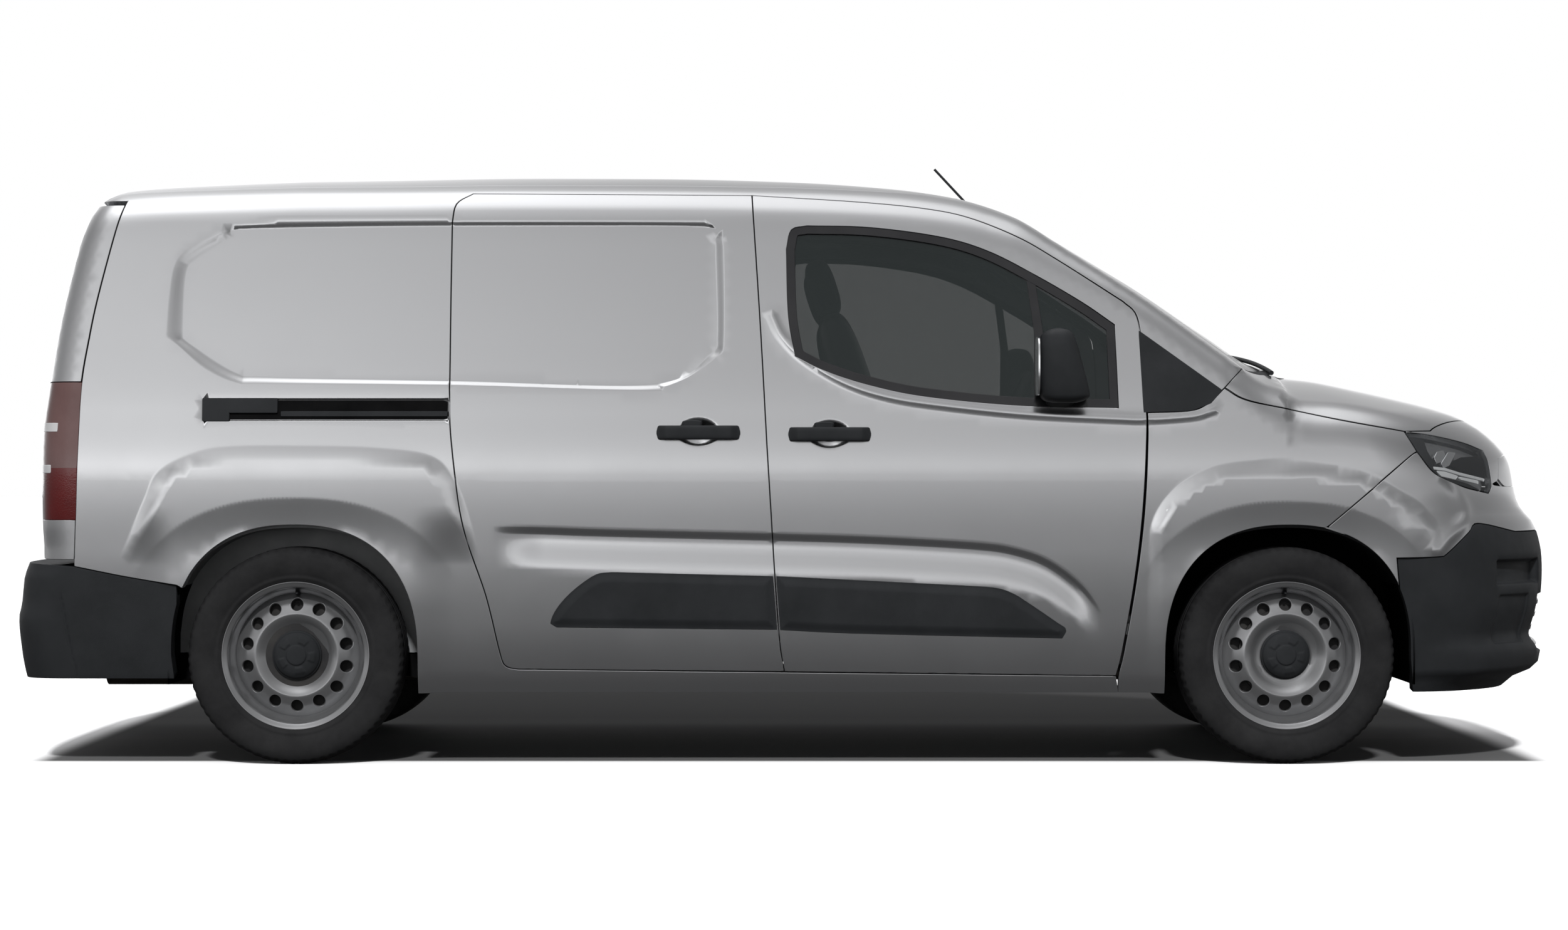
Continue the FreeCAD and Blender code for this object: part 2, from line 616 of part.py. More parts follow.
# How far cutting tools reach, as shares of the body
BEYOND_SHARE = 1.2
BEHIND_SHARE = 1.1
DOOR_REACH_SHARE = 0.4
WING_REACH_SHARE = 0.3
ARCH_REACH_SHARE = 0.5
BONNET_LOW_SHARE = 0.4
SCREEN_LOW_SHARE = 0.5
COWL_LOW_SHARE = 0.55
ROOF_LOW_SHARE = 0.85
ABOVE_SHARE = 1.1
SCREEN_SAG_SHARE = 0.7

# Blocks that the panels are cut from
beyond = BEYOND_SHARE * S.half_body
behind = rear_end * BEHIND_SHARE
door_reach = -S.half_body * DOOR_REACH_SHARE
wing_reach = -S.half_body * WING_REACH_SHARE
top_high = up(ABOVE_SHARE)
outer = body_block(0, 0, 0)
room = body_block(S.side_wall, S.roof_wall, S.end_wall)
fit_room = body_block(S.side_wall + S.seat_gap, S.roof_wall + S.seat_gap, S.end_wall + S.seat_gap)
thin_room = body_block(S.skin_wall, S.skin_wall, S.skin_wall)
wall = outer.cut(room)
skin = outer.cut(thin_room)

cowl_front = S.screen_base_place + S.cowl_width
tight = S.seat_gap


def roof_zone(grow):
    return plan_band(behind, 0, S.roof_seam + grow, S.header_place + grow, S.header_sag,
                     S.roof_seam + grow, up(ROOF_LOW_SHARE), top_high)


def screen_zone(grow):
    return plan_band(S.header_place - grow, S.header_sag * SCREEN_SAG_SHARE, S.screen_top_half + grow,
                     S.screen_base_place + grow, S.screen_base_sag, S.screen_base_half + grow,
                     up(SCREEN_LOW_SHARE), top_high)


def cowl_zone(grow):
    return plan_band(S.screen_base_place - grow, S.screen_base_sag, S.screen_base_half + grow,
                     cowl_front + grow, S.cowl_sag, S.cowl_half + grow, up(COWL_LOW_SHARE), top_high)


def bonnet_zone(grow):
    return plan_band(cowl_front - grow, S.cowl_sag, S.cowl_half + grow, S.bonnet_front_place + grow,
                     S.bonnet_front_sag, S.bonnet_half + grow, up(BONNET_LOW_SHARE), top_high)


def hinge_post(radius, hinge):
    return Part.makeCylinder(radius, top_high, Vector(hinge[0], hinge[1], 0))


def front_hinge(z):
    """Point of the right front door's hinge axis at a height: just inside the skin, behind the front gap."""
    lean = math.tan(math.radians(S.hinge_lean))
    place = along(HINGE_SHARE[0]) - S.hinge_back + (z - up(HINGE_SHARE[1])) * lean
    return Vector(place, S.hinge_inset - S.half_body * WIDEST_SHARE, z)


def door_swing():
    """What the front edge of the open door needs: its corners' circles about the hinge, and a gap."""
    foot, head = front_hinge(0), front_hinge(up(1))
    axis = head.sub(foot).normalize()
    sweeps = []
    for depth in (0, S.side_wall):
        spots = [foot]
        for a, h in SWING_SHARES:
            hinge = front_hinge(up(h))
            corner = Vector(along(a) - half_gap, depth - half_width(along(a), up(h)), up(h))
            reach = corner.sub(hinge).Length + S.swing_gap
            spots.append(hinge.add(Vector(reach, 0, 0)))
        low = Vector(0, 0, S.overrun)
        spots = [front_hinge(up(SWING_SHARES[0][1]) - S.overrun), spots[1] - low] + spots[1:]
        spots.append(front_hinge(up(SWING_SHARES[-1][1])))
        outline = Part.Face(Part.makePolygon(spots + spots[:1]))
        sweeps.append(outline.revolve(foot, axis, 360))
    y = front_hinge(0).y
    outside, inside = sweeps
    outside = outside.common(box(0, front_end, -beyond, y + S.hinge_inset / 2, 0, top_high))
    inside = inside.common(box(0, front_end, y, 0, 0, top_high))
    return outside.fuse(inside)


def rear_hinge():
    """Upright axis of the right rear door, in the corner post ahead of its gap."""
    place = along(REAR_GAP_SHARES[0][0]) + S.rear_hinge_ahead
    return Vector(place, S.rear_hinge_inset - half_width(place, up(WAIST_SHARE)), 0)


half_gap = S.shut_gap / 2
rear_arch = arch_prism(rear_axle, S.arch_reach, S.arch_rise, -beyond, -S.half_body * ARCH_REACH_SHARE)
front_arch = arch_prism(front_axle, S.arch_reach, S.arch_rise, -beyond, -S.half_body * ARCH_REACH_SHARE)
front_door_hole = side_prism(FRONT_DOOR_SHARES, -beyond, door_reach, half_gap)
slide_hole = side_prism(SLIDING_DOOR_SHARES, -beyond, door_reach, half_gap)
swing = door_swing()


def pressed(outline, depth):
    """What a pressing of one depth takes out of the right side."""
    return side_sheet(-S.overrun, S.overrun + depth).common(side_prism(outline, -beyond, 0))


def finger_cup(place, height):
    """A shallow round hollow behind a pull handle, on the right side."""
    ball = (S.cup_radius * S.cup_radius / S.cup_depth + S.cup_depth) / 2
    return Part.makeSphere(ball, Vector(place, S.cup_depth - ball - half_width(place, height), height))


recess = pressed(RECESS_SHARES, S.recess_depth)
rail_corners = [list(pair) for pair in zip(RAIL_SLOT_SHARES, RAIL_SLOT_SHARES[1:] + RAIL_SLOT_SHARES[:1])]
rail_slot = pressed(rail_corners, S.rail_slot_depth)


def side_panel():
    """Quarter panel, sill, roof rail and windscreen pillar in one, as they are welded."""
    shape = wall.common(side_prism(SIDE_PANEL_SHARES, -beyond, 0)).cut(recess).cut(rail_slot)
    for tool in (roof_zone(tight), screen_zone(tight), cowl_zone(tight), bonnet_zone(half_gap),
                 front_door_hole, slide_hole, rear_arch, swing):
        shape = shape.cut(tool)
    return biggest(shape.cut(side_prism(REAR_BUMPER_VIEW_SHARES, -beyond, 0, tight * 2)))


def sliding_door():
    shape = wall.common(side_prism(SLIDING_DOOR_SHARES, -beyond, door_reach, -half_gap)).cut(recess)
    return biggest(shape.cut(finger_cup(S.slide_handle_place, S.handle_height)))


def front_door():
    shape = wall.common(side_prism(FRONT_DOOR_SHARES, -beyond, door_reach, -half_gap))
    shape = shape.cut(side_prism(DOOR_WINDOW_SHARES, -beyond, door_reach))
    return biggest(shape.cut(finger_cup(S.front_handle_place, S.handle_height)))


def door_glass():
    """The side window, a little inside the door's skin."""
    pane = side_sheet(S.glass_inset, S.glass_wall)
    return biggest(pane.common(side_prism(DOOR_WINDOW_SHARES, -beyond, 0, -tight)))


def fender():
    shape = skin.common(side_prism(FENDER_SHARES, -beyond, wing_reach))
    lid = bonnet_zone(half_gap).common(side_prism(BONNET_SHARES, -beyond, 0, half_gap))
    shape = shape.cut(front_arch).cut(lid)
    return biggest(shape.cut(swing))


def bonnet():
    zone = bonnet_zone(-half_gap)
    line = side_prism(BONNET_SHARES, -beyond, 0)
    shape = skin.common(zone).common(line.fuse(mirrored(line)))
    return biggest(shape)


def rear_door_pair():
    """Two unequal rear doors that wrap the corners above the lamps."""
    zone = side_prism(TAIL_VIEW_SHARES, -beyond, beyond, -half_gap)
    zone = zone.common(box(behind, 0, -beyond, beyond, up(DOOR_BASE_SHARE), up(DOOR_TOP_SHARE)))
    pair = wall.common(zone)
    hinge = rear_hinge()
    post = hinge_post(S.lamp_swing + S.shut_gap, hinge)
    post = post.common(box(behind, 0, -beyond, 0, 0, up(LAMP_TOP_SHARE) + S.shut_gap))
    pair = pair.cut(post).cut(mirrored(post))
    right = pair.common(box(behind, 0, -beyond, S.rear_split - half_gap, 0, top_high))
    left = pair.common(box(behind, 0, S.rear_split + half_gap, beyond, 0, top_high))
    return biggest(right), biggest(left)


def rear_corner():
    """What stands still at the tail's corner under the door's wrap: the lamp and the piece below it."""
    shape = wall.common(side_prism(TAIL_VIEW_SHARES, -beyond, 0, -tight))
    return shape.common(hinge_post(S.lamp_swing, rear_hinge()))


def tail_pieces():
    corner = rear_corner()
    lamp = corner.common(box(behind, 0, -beyond, 0, up(LAMP_BASE_SHARE), up(LAMP_TOP_SHARE)))
    cheek = corner.common(box(behind, 0, -beyond, 0, up(CHEEK_TOP_SHARE), up(LAMP_BASE_SHARE) - tight))
    return biggest(lamp), biggest(cheek)


def rack_holes():
    """Four upright holes for the feet of a roof rack."""
    holes = [Part.makeCylinder(S.rack_radius, top_high, Vector(S.rack_place + end * S.rack_length / 2,
                                                               side * S.rack_width / 2, 0))
             for end in (-1, 1) for side in (-1, 1)]
    return holes[0].fuse(holes[1:])


def roof():
    shape = wall.common(roof_zone(0))
    shape = shape.cut(box(behind, along(REAR_GAP_SHARES[-1][0]), -beyond, beyond, 0, up(ROOF_LIP_SHARE)))
    return biggest(shape.cut(rack_holes()))


def windscreen():
    pane = top_sheet(S.glass_inset, S.glass_wall)
    return biggest(pane.common(screen_zone(0)))


def cowl():
    """Scuttle under the windscreen, with the wall that closes the cab in front."""
    shape = skin.common(cowl_zone(0))
    return biggest(shape)


def lamp_room():
    """What the right headlamp needs in the panels round it."""
    return side_prism(HEADLAMP_SHARES, -beyond, wing_reach, tight * 2)


def nose_panel():
    shape = skin.common(side_prism(NOSE_PANEL_SHARES, -beyond, beyond))
    lamp = lamp_room()
    shape = shape.cut(lamp).cut(mirrored(lamp)).cut(bonnet_cut())
    shape = shape.cut(front_arch).cut(mirrored(front_arch))
    shape = shape.cut(side_prism(FRONT_BUMPER_SHARES, -beyond, beyond, tight * 2))
    return biggest(shape.cut(grille_zone(tight)))


def bonnet_cut():
    line = side_prism(BONNET_SHARES, -beyond, beyond, half_gap)
    return bonnet_zone(half_gap).common(line)


GRILLE_VIEW_SHARES = [[(-0.66, 0.475), (-0.6, 0.462), (0.6, 0.462), (0.66, 0.475)], [(0.66, 0.475),
                       (0.62, 0.51)],
               [(0.62, 0.51), (0.4, 0.518), (-0.4, 0.518), (-0.62, 0.51)], [(-0.62, 0.51), (-0.66, 0.475)]]


def front_spot(point):
    return Vector(front_axle, S.half_body * point[0], up(point[1]))


def grille_zone(grow):
    face = Part.Face(Part.Wire([stroke(points, front_spot) for points in GRILLE_VIEW_SHARES]))
    if grow:
        face = offset(face, grow)
    return face.extrude(Vector(S.front_overhang * BEYOND_SHARE, 0, 0))


def grille():
    lamp = lamp_room()
    return biggest(skin.common(grille_zone(0)).cut(lamp).cut(mirrored(lamp)))


def headlamp():
    deep = outer.cut(body_block(S.lamp_wall, S.lamp_wall, S.lamp_wall))
    return biggest(deep.common(side_prism(HEADLAMP_SHARES, -beyond, wing_reach)))


def front_bumper():
    thick = outer.cut(body_block(S.bumper_wall, S.bumper_wall, S.bumper_wall))
    shape = thick.common(side_prism(FRONT_BUMPER_SHARES, -beyond, beyond))
    return biggest(shape.cut(front_arch).cut(mirrored(front_arch)))


def rear_bumper():
    block = body_block(0, 0, 0, REAR_BUMPER_SHARES)
    hollow = body_block(S.bumper_wall, S.bumper_wall, S.bumper_wall, REAR_BUMPER_SHARES)
    shape = block.cut(hollow).common(side_prism(REAR_BUMPER_VIEW_SHARES, -beyond, beyond))
    return biggest(shape.cut(rear_arch).cut(mirrored(rear_arch)))


def lower_moulding(outline_door):
    """Side moulding's half on one door, standing proud of its skin."""
    band = side_sheet(-S.moulding_proud, S.moulding_proud - tight)
    band = band.common(side_prism(CLADDING_SHARES, -beyond, 0))
    return biggest(band.common(side_prism(outline_door, -beyond, 0, -half_gap)))


def underbody():
    """Load floor, cab floor and the rear wheel housings in one pressing."""
    low = S.floor_height - S.floor_wall
    floor = fit_room.common(box(along(FLOOR_END_SHARE), S.bulkhead_place, -beyond, beyond, low,
                                S.floor_height))
    cab_low = S.cab_floor_height - S.floor_wall
    cab = fit_room.common(box(S.bulkhead_place - S.floor_wall, front_axle - S.wheelhouse_reach, -S.cab_half,
                              S.cab_half, cab_low, S.cab_floor_height))
    cab = cab.cut(swing).cut(mirrored(swing))
    riser = fit_room.common(box(S.bulkhead_place - S.floor_wall, S.bulkhead_place, -beyond, beyond, cab_low,
                                S.floor_height))
    shape = floor.fuse([cab, riser])
    inner = S.half_body - S.wheelhouse_depth
    for side in (-1, 1):
        wall_place = S.half_body - S.side_wall - S.tail_taper
        near = -wall_place if side < 0 else inner
        far = -inner if side < 0 else wall_place
        house = arch_prism(rear_axle, S.wheelhouse_reach, S.wheelhouse_reach, near, far)
        hole_near = -beyond if side < 0 else inner + S.wheelhouse_wall
        hole_far = -inner - S.wheelhouse_wall if side < 0 else beyond
        reach = S.wheelhouse_reach - S.wheelhouse_wall
        hole = arch_prism(rear_axle, reach, reach, hole_near, hole_far)
        above = box(rear_end, front_end, -beyond, beyond, S.tyre_radius, top_high)
        shape = shape.fuse(house.common(above).common(fit_room)).cut(hole)
    hub_room = S.rear_hub_radius + S.rear_hub_room
    return biggest(shape.cut(Part.makeCylinder(hub_room, beyond * 2, Vector(rear_axle, -beyond, S.tyre_radius),
                                               Vector(0, 1, 0))))


def front_liner():
    """Curved liner over the right front wheel, from the frame rail out to the wing."""
    inner = -S.rail_inner - S.rail_wall - tight
    reach = S.wheelhouse_reach
    band = arch_prism(front_axle, reach, reach, -beyond, inner)
    reach = reach - S.wheelhouse_wall
    band = band.cut(arch_prism(front_axle, reach, reach, -beyond, inner))
    wall_front = front_axle - S.wheelhouse_reach + S.bulkhead_wall + tight * 2
    band = band.common(box(wall_front, front_end, -beyond, inner, S.tyre_radius - S.overrun, top_high))
    inset = S.bumper_wall + tight
    return biggest(band.common(body_block(inset, inset, inset)))


def bulkhead():
    low = S.floor_height + tight
    rear = S.bulkhead_place - S.bulkhead_wall
    return biggest(fit_room.common(box(rear, S.bulkhead_place, -beyond, beyond, low, top_high)))


# The tyre's and wheel's sections, as shares of their widths, offsets and walls
BEAD_OUT_SHARE = 0.82
BEAD_IN_SHARE = 0.62
TREAD_FLAT_SHARE = 0.9
SHOULDER_SHARE = 0.8
DISC_NECK_SHARE = 0.55
NECK_WALL_SHARE = 1.5
DISH_WALL_SHARE = 3
DISH_SHARE = 0.5
CAP_FLAT_SHARE = 0.5
WELL_BACK_SHARE = 0.3
SEAT_BACK_SHARE = 0.45
SEAT_EDGE_SHARE = 0.4
WELL_EDGE_SHARE = 0.25
WELL_FRONT_SHARE = 0.6
SEAT_FRONT_SHARE = 1.1
VENTS = 14


def tyre(name, x, y, side):
    """A tubeless tyre: tread, sidewalls and beads around an open inside."""
    body = doc.addObject("PartDesign::Body", name)
    half = S.tyre_width / 2
    tread = S.tread_width / 2
    shoulder = (S.tyre_radius + S.bead_radius) / 2
    bead = S.rim_width / 2 - S.rim_wall - S.seat_gap
    seat = S.bead_radius + S.seat_gap
    flat = tread * TREAD_FLAT_SHARE
    inner = S.tyre_radius - S.tyre_wall
    points = [(seat, bead * BEAD_OUT_SHARE), (S.bead_radius + S.tyre_wall, bead), (shoulder, half),
              (inner, tread + S.tyre_wall * SHOULDER_SHARE), (S.tyre_radius, flat)]
    inside = [(inner, flat), (shoulder, half - S.tyre_wall), (seat, bead * BEAD_IN_SHARE)]
    ring = points + [(r, -w) for r, w in reversed(points)]
    ring += [(r, -w) for r, w in reversed(inside)] + inside
    sketch = polygon(body, name + "_section", "XZ_Plane", ring)
    spin(body, name + "_turn", sketch)
    put(body, x, y, S.tyre_radius, Vector(1, 0, 0), 90 if side < 0 else -90)
    return keep(name, body)


def rim(name, x, y, side):
    """A pressed steel wheel: drop well rim, dished disc, ring of round vents and a plain cap."""
    body = doc.addObject("PartDesign::Body", name)
    half = S.rim_width / 2
    t = S.rim_wall
    d = S.disc_offset
    w = S.disc_wall
    neck = d * DISC_NECK_SHARE
    dish = d + S.dish_rise * DISH_SHARE
    dish_edge = S.dish_radius + w * DISH_WALL_SHARE
    cap = d + S.cap_height
    section = [
        (S.rim_well, neck), (dish_edge, d + w), (S.dish_radius, dish), (S.cap_radius + w, d + w),
        (S.cap_radius, cap), (S.cap_radius * CAP_FLAT_SHARE, cap + t), (0.0, cap + t), (0.0, cap),
        (S.hub_bore, d + w), (S.hub_bore, d), (S.cap_radius + w, d), (S.dish_radius, dish - w),
        (dish_edge, d),
        (S.rim_well, neck - w * NECK_WALL_SHARE), (S.rim_well, -half * WELL_BACK_SHARE),
        (S.rim_seat - t, -half * SEAT_BACK_SHARE), (S.rim_seat - t, t - half), (S.rim_lip, -half),
        (S.rim_lip, t - half), (S.rim_seat, t * 2 - half), (S.rim_seat, -half * SEAT_EDGE_SHARE),
        (S.rim_well + t, -half * WELL_EDGE_SHARE), (S.rim_well + t, d * WELL_FRONT_SHARE), (S.rim_seat, d),
        (S.rim_seat, half - t * 2), (S.rim_lip, half - t), (S.rim_lip, half), (S.rim_seat - t, half - t),
        (S.rim_seat - t, d * SEAT_FRONT_SHARE),
    ]
    sketch = polygon(body, name + "_section", "XZ_Plane", section)
    turned = spin(body, name + "_turn", sketch)
    doc.recompute()
    vent = round_sketch(body, name + "_vent", S.vent_circle, S.vent_radius)
    pocket = body.newObject("PartDesign::Pocket", name + "_vent_cut")
    pocket.Profile = vent
    pocket.setExpression("Length", rule_of(S.rim_width))
    pocket.Reversed = True
    ring = body.newObject("PartDesign::PolarPattern", name + "_vents")
    ring.Originals = [pocket]
    ring.Axis = (vent, ["N_Axis"])
    ring.Angle = 360
    ring.Occurrences = VENTS
    body.Tip = ring
    doc.recompute()
    if not ring.Shape.Volume < turned.Shape.Volume:
        raise RuntimeError("The vents of %s cut nothing" % name)
    put(body, x, y, S.tyre_radius, Vector(1, 0, 0), 90 if side < 0 else -90)
    return keep(name, body)


SIDES = (("right", -1), ("left", 1))


def wheels():
    for end, x, track in (("front", front_axle, S.track_front), ("rear", rear_axle, S.track_rear)):
        for hand, side in SIDES:
            tyre("tyre_%s_%s" % (end, hand), x, track / 2 * side, side)
            rim("rim_%s_%s" % (end, hand), x, track / 2 * side, side)


def knuckle(hand, side):
    """Steered upright with its hub, brake disc, stub and steering arm."""
    out = S.track_front / 2 + S.disc_offset
    turn = 90 if side < 0 else -90
    name = "knuckle_" + hand
    hub = part("Cylinder", name + "_hub", Radius=S.hub_radius, Height=S.hub_length)
    put(hub, front_axle, (out - tight - S.hub_length) * side, S.tyre_radius, Vector(1, 0, 0), turn)
    stub = part("Cylinder", name + "_stub", Radius=S.hub_bore - S.seat_gap, Height=S.disc_wall * 2)
    put(stub, front_axle, (out - tight - S.disc_wall) * side, S.tyre_radius, Vector(1, 0, 0), turn)
    disc = part("Cylinder", name + "_disc", Radius=S.disc_radius, Height=S.brake_wall)
    put(disc, front_axle, (out - tight - S.hub_length) * side, S.tyre_radius, Vector(1, 0, 0), turn)
    depth = S.hub_length + S.upright_wall
    upright = part("Box", name + "_upright", Length=S.upright_wall * 2, Width=S.upright_wall,
                   Height=S.upright_height)
    outer_face = out - tight - S.hub_length
    inner_face = out - tight - depth
    near = inner_face if side > 0 else -outer_face
    put(upright, front_axle - S.upright_wall, near, S.tyre_radius - S.upright_height / 2)
    arm = part("Box", name + "_arm", Length=S.arm_reach + S.upright_wall, Width=S.arm_wall, Height=S.arm_wall)
    put(arm, front_axle - S.arm_reach - S.upright_wall, near + S.upright_wall / 4, S.tyre_radius - S.arm_wall)
    kingpin = S.track_front / 2 - S.kingpin_inset
    lug_length = inner_face - kingpin + S.upright_wall / 2
    lug = part("Box", name + "_lug", Length=S.ball_radius * 2, Width=lug_length, Height=S.arm_wall)
    lug_base = S.frame_base + S.frame_wall + tight
    put(lug, front_axle - S.ball_radius, kingpin if side > 0 else -kingpin - lug_length, lug_base)
    return keep(name, fused(name, [hub, stub, disc, upright, arm, lug]))


def rear_axle_beam():
    """Twist beam: cross beam, two trailing arms, hubs and springs."""
    pieces = []
    beam = part("Box", "axle_beam", Length=S.beam_width, Width=S.beam_length, Height=S.beam_wall)
    ahead = rear_axle + S.trail_length / 2
    put(beam, ahead, S.beam_length / -2, S.tyre_radius - S.beam_wall / 2)
    pieces.append(beam)
    for hand, side in SIDES:
        out = S.track_rear / 2 + S.disc_offset - tight
        arm_in = S.beam_length / 2 - S.trail_wall
        arm = part("Box", "axle_arm_" + hand, Length=S.trail_length + S.trail_wall, Width=S.trail_wall,
                   Height=S.beam_wall)
        near = arm_in if side > 0 else -arm_in - S.trail_wall
        put(arm, rear_axle - S.trail_wall, near, S.tyre_radius - S.beam_wall / 2)
        hub_length = out - arm_in
        hub = part("Cylinder", "axle_hub_" + hand, Radius=S.rear_hub_radius, Height=hub_length)
        turn = 90 if side < 0 else -90
        put(hub, rear_axle, arm_in * side, S.tyre_radius, Vector(1, 0, 0), turn)
        drum = part("Cylinder", "axle_drum_" + hand, Radius=S.drum_radius, Height=S.rear_hub_length)
        put(drum, rear_axle, (out - S.rear_hub_length) * side, S.tyre_radius, Vector(1, 0, 0), turn)
        spring = part("Cylinder", "axle_spring_" + hand, Radius=S.spring_radius,
                      Height=S.floor_height - S.floor_wall - S.tyre_radius - tight)
        put(spring, ahead + S.beam_width / 2, (S.beam_length / 2 - S.spring_inset) * side, S.tyre_radius)
        pieces += [arm, hub, drum, spring]
    return keep("rear_axle", fused("rear_axle", pieces))


def engine_and_frame():
    """Engine block between the frame rails, with the cross member and lower arms under it."""
    engine_half = S.rail_inner - S.seat_gap
    engine = part("Box", "engine_block", Length=S.engine_length, Width=engine_half * 2,
                  Height=S.engine_height)
    put(engine, S.engine_place - S.engine_length / 2, -engine_half, S.engine_base)
    keep("engine_block", engine)
    pieces = []
    start = front_axle - S.wheelhouse_reach + S.seat_gap * 2 + S.bulkhead_wall
    rail_base = S.cab_floor_height - S.floor_wall - S.rail_height
    cross = part("Box", "frame_cross", Length=S.frame_length, Width=S.rail_inner * 2, Height=S.frame_wall)
    put(cross, front_axle - S.frame_length / 2, -S.rail_inner, S.frame_base)
    pieces.append(cross)
    for hand, side in SIDES:
        near = S.rail_inner if side > 0 else -S.rail_inner - S.rail_wall
        rail = part("Box", "frame_rail_" + hand, Length=S.rail_end - start, Width=S.rail_wall,
                    Height=S.rail_height)
        put(rail, start, near, rail_base)
        post = part("Box", "frame_post_" + hand, Length=S.frame_length, Width=S.rail_wall,
                    Height=rail_base - S.frame_base + S.seat_gap)
        put(post, front_axle - S.frame_length / 2, near, S.frame_base)
        kingpin = S.track_front / 2 - S.kingpin_inset
        arm = part("Box", "frame_arm_" + hand, Length=S.lower_arm_half * 2, Width=kingpin - S.rail_inner,
                   Height=S.frame_wall)
        put(arm, front_axle - S.lower_arm_half, S.rail_inner if side > 0 else -kingpin, S.frame_base)
        ball = part("Cylinder", "frame_ball_" + hand, Radius=S.ball_radius, Height=S.frame_wall)
        put(ball, front_axle, kingpin * side, S.frame_base)
        pieces += [rail, post, arm, ball]
    return keep("front_frame", fused("front_frame", pieces))


def exhaust():
    """Pipe along the right of the tank to a silencer behind the rear beam, on two hangers."""
    start = front_axle - S.wheelhouse_reach
    end = rear_axle - S.pipe_end
    pipe = part("Cylinder", "exhaust_pipe", Radius=S.pipe_radius, Height=start - end)
    put(pipe, end, S.pipe_side, S.pipe_height, Vector(0, 1, 0), 90)
    pot = part("Cylinder", "exhaust_pot", Radius=S.silencer_radius, Height=S.silencer_length)
    put(pot, end - S.silencer_length + S.pipe_radius, S.pipe_side, S.pipe_height + S.silencer_radius / 2,
        Vector(0, 1, 0), 90)
    front = part("Box", "exhaust_front_hanger", Length=S.hanger_wall, Width=S.hanger_wall,
                 Height=S.cab_floor_height - S.floor_wall - tight - S.pipe_height)
    put(front, S.seat_place, S.pipe_side - S.hanger_wall / 2, S.pipe_height)
    back = part("Box", "exhaust_back_hanger", Length=S.hanger_wall, Width=S.hanger_wall,
                Height=S.floor_height - S.floor_wall - tight - S.pipe_height)
    put(back, end - S.silencer_length / 2, S.pipe_side - S.hanger_wall / 2, S.pipe_height)
    return keep("exhaust", fused("exhaust", [pipe, pot, front, back]))


def antenna():
    """Short whip that leans back from a round foot on the roof's front edge."""
    foot_place = Vector(S.antenna_place, 0, top_height(S.antenna_place, 0) + S.seat_gap * 3)
    foot = Part.makeCone(S.antenna_base, S.antenna_base / 2, S.antenna_base)
    near, far = S.antenna_place - S.antenna_base, S.antenna_place + S.antenna_base
    slope = math.degrees(math.atan2(top_height(near, 0) - top_height(far, 0), far - near))
    foot.rotate(Vector(0, 0, 0), Vector(0, 1, 0), slope)
    foot.translate(foot_place)
    rod = Part.makeCylinder(S.antenna_radius, S.antenna_length)
    rod.rotate(Vector(0, 0, 0), Vector(0, 1, 0), -S.antenna_lean)
    rod.translate(foot_place)
    below = top_sheet(-tight, S.roof_wall)
    return form("antenna", biggest(foot.fuse(rod).cut(below)))


SEAT_EDGE_SHARES = (0.1, 0.9)
PLINTH_SIDE_SHARES = (0.15, 0.85)
CUSHION_RISE_SHARE = 0.8
HEAD_PLACE_SHARE = 0.2
CUSHION_ROUND_SHARE = 0.8
HEAD_ROUND_SHARE = 0.5


def seats():
    """Driver's and passenger's seats: plinth, cushion, leaning back and head restraint."""
    solids = []
    for hand, side in SIDES:
        y = S.seat_spacing / 2 * side - S.seat_width / 2
        low = S.cab_floor_height + tight
        top = low + S.seat_base_height
        rear, fore = [S.seat_place + S.seat_length * share for share in SEAT_EDGE_SHARES]
        right, left = [y + S.seat_width * share for share in PLINTH_SIDE_SHARES]
        plinth = box(rear, fore, right, left, low, top)
        high = top + S.cushion_wall * CUSHION_RISE_SHARE
        cushion = box(S.seat_place, S.seat_place + S.seat_length, y, y + S.seat_width,
                      high - S.cushion_wall, high)
        back = box(0, S.back_wall, 0, S.seat_width, 0, S.back_height)
        head_place = S.back_wall * HEAD_PLACE_SHARE
        head = box(head_place, head_place + S.head_wall, (S.seat_width - S.head_width) / 2,
                   (S.seat_width + S.head_width) / 2, S.back_height - tight, S.back_height + S.head_height)
        back = back.makeFillet(S.seat_round * CUSHION_ROUND_SHARE, back.Edges)
        cushion = cushion.makeFillet(S.seat_round * CUSHION_ROUND_SHARE, cushion.Edges)
        head = head.makeFillet(S.seat_round * HEAD_ROUND_SHARE, head.Edges)
        head.translate(Vector(0, 0, -S.seat_round * HEAD_ROUND_SHARE))
        tall = back.fuse(head)
        tall.rotate(Vector(0, 0, 0), Vector(0, 1, 0), -S.back_lean)
        tall.translate(Vector(S.seat_place, y, top + S.cushion_wall * (1 - CUSHION_RISE_SHARE)))
        solids.append(biggest(plinth.fuse([cushion, tall])))
    return Part.makeCompound(solids)


DASH_AHEAD_SHARE = 0.45
DASH_ROUND_SHARE = 0.25
BORE_SHARE = 3


def dashboard():
    low = S.dash_top - S.dash_height
    place = front_axle - S.wheelhouse_reach + S.dash_depth * DASH_AHEAD_SHARE
    block = box(place - S.dash_depth, place, -S.dash_half, S.dash_half, low, S.dash_top)
    long_edges = [edge for edge in block.Edges if abs(edge.Vertexes[0].Y - edge.Vertexes[1].Y) > S.dash_half]
    block = block.makeFillet(S.dash_height * DASH_ROUND_SHARE, long_edges)
    deep = S.column_length * BORE_SHARE
    bore = Part.makeCylinder(S.column_radius + S.seat_gap, deep, Vector(0, 0, -deep))
    bore.Placement = column_placement()
    return biggest(block.common(fit_room).cut(bore).cut(swing).cut(mirrored(swing)))


FIREWALL_INSET_SHARE = 1.6


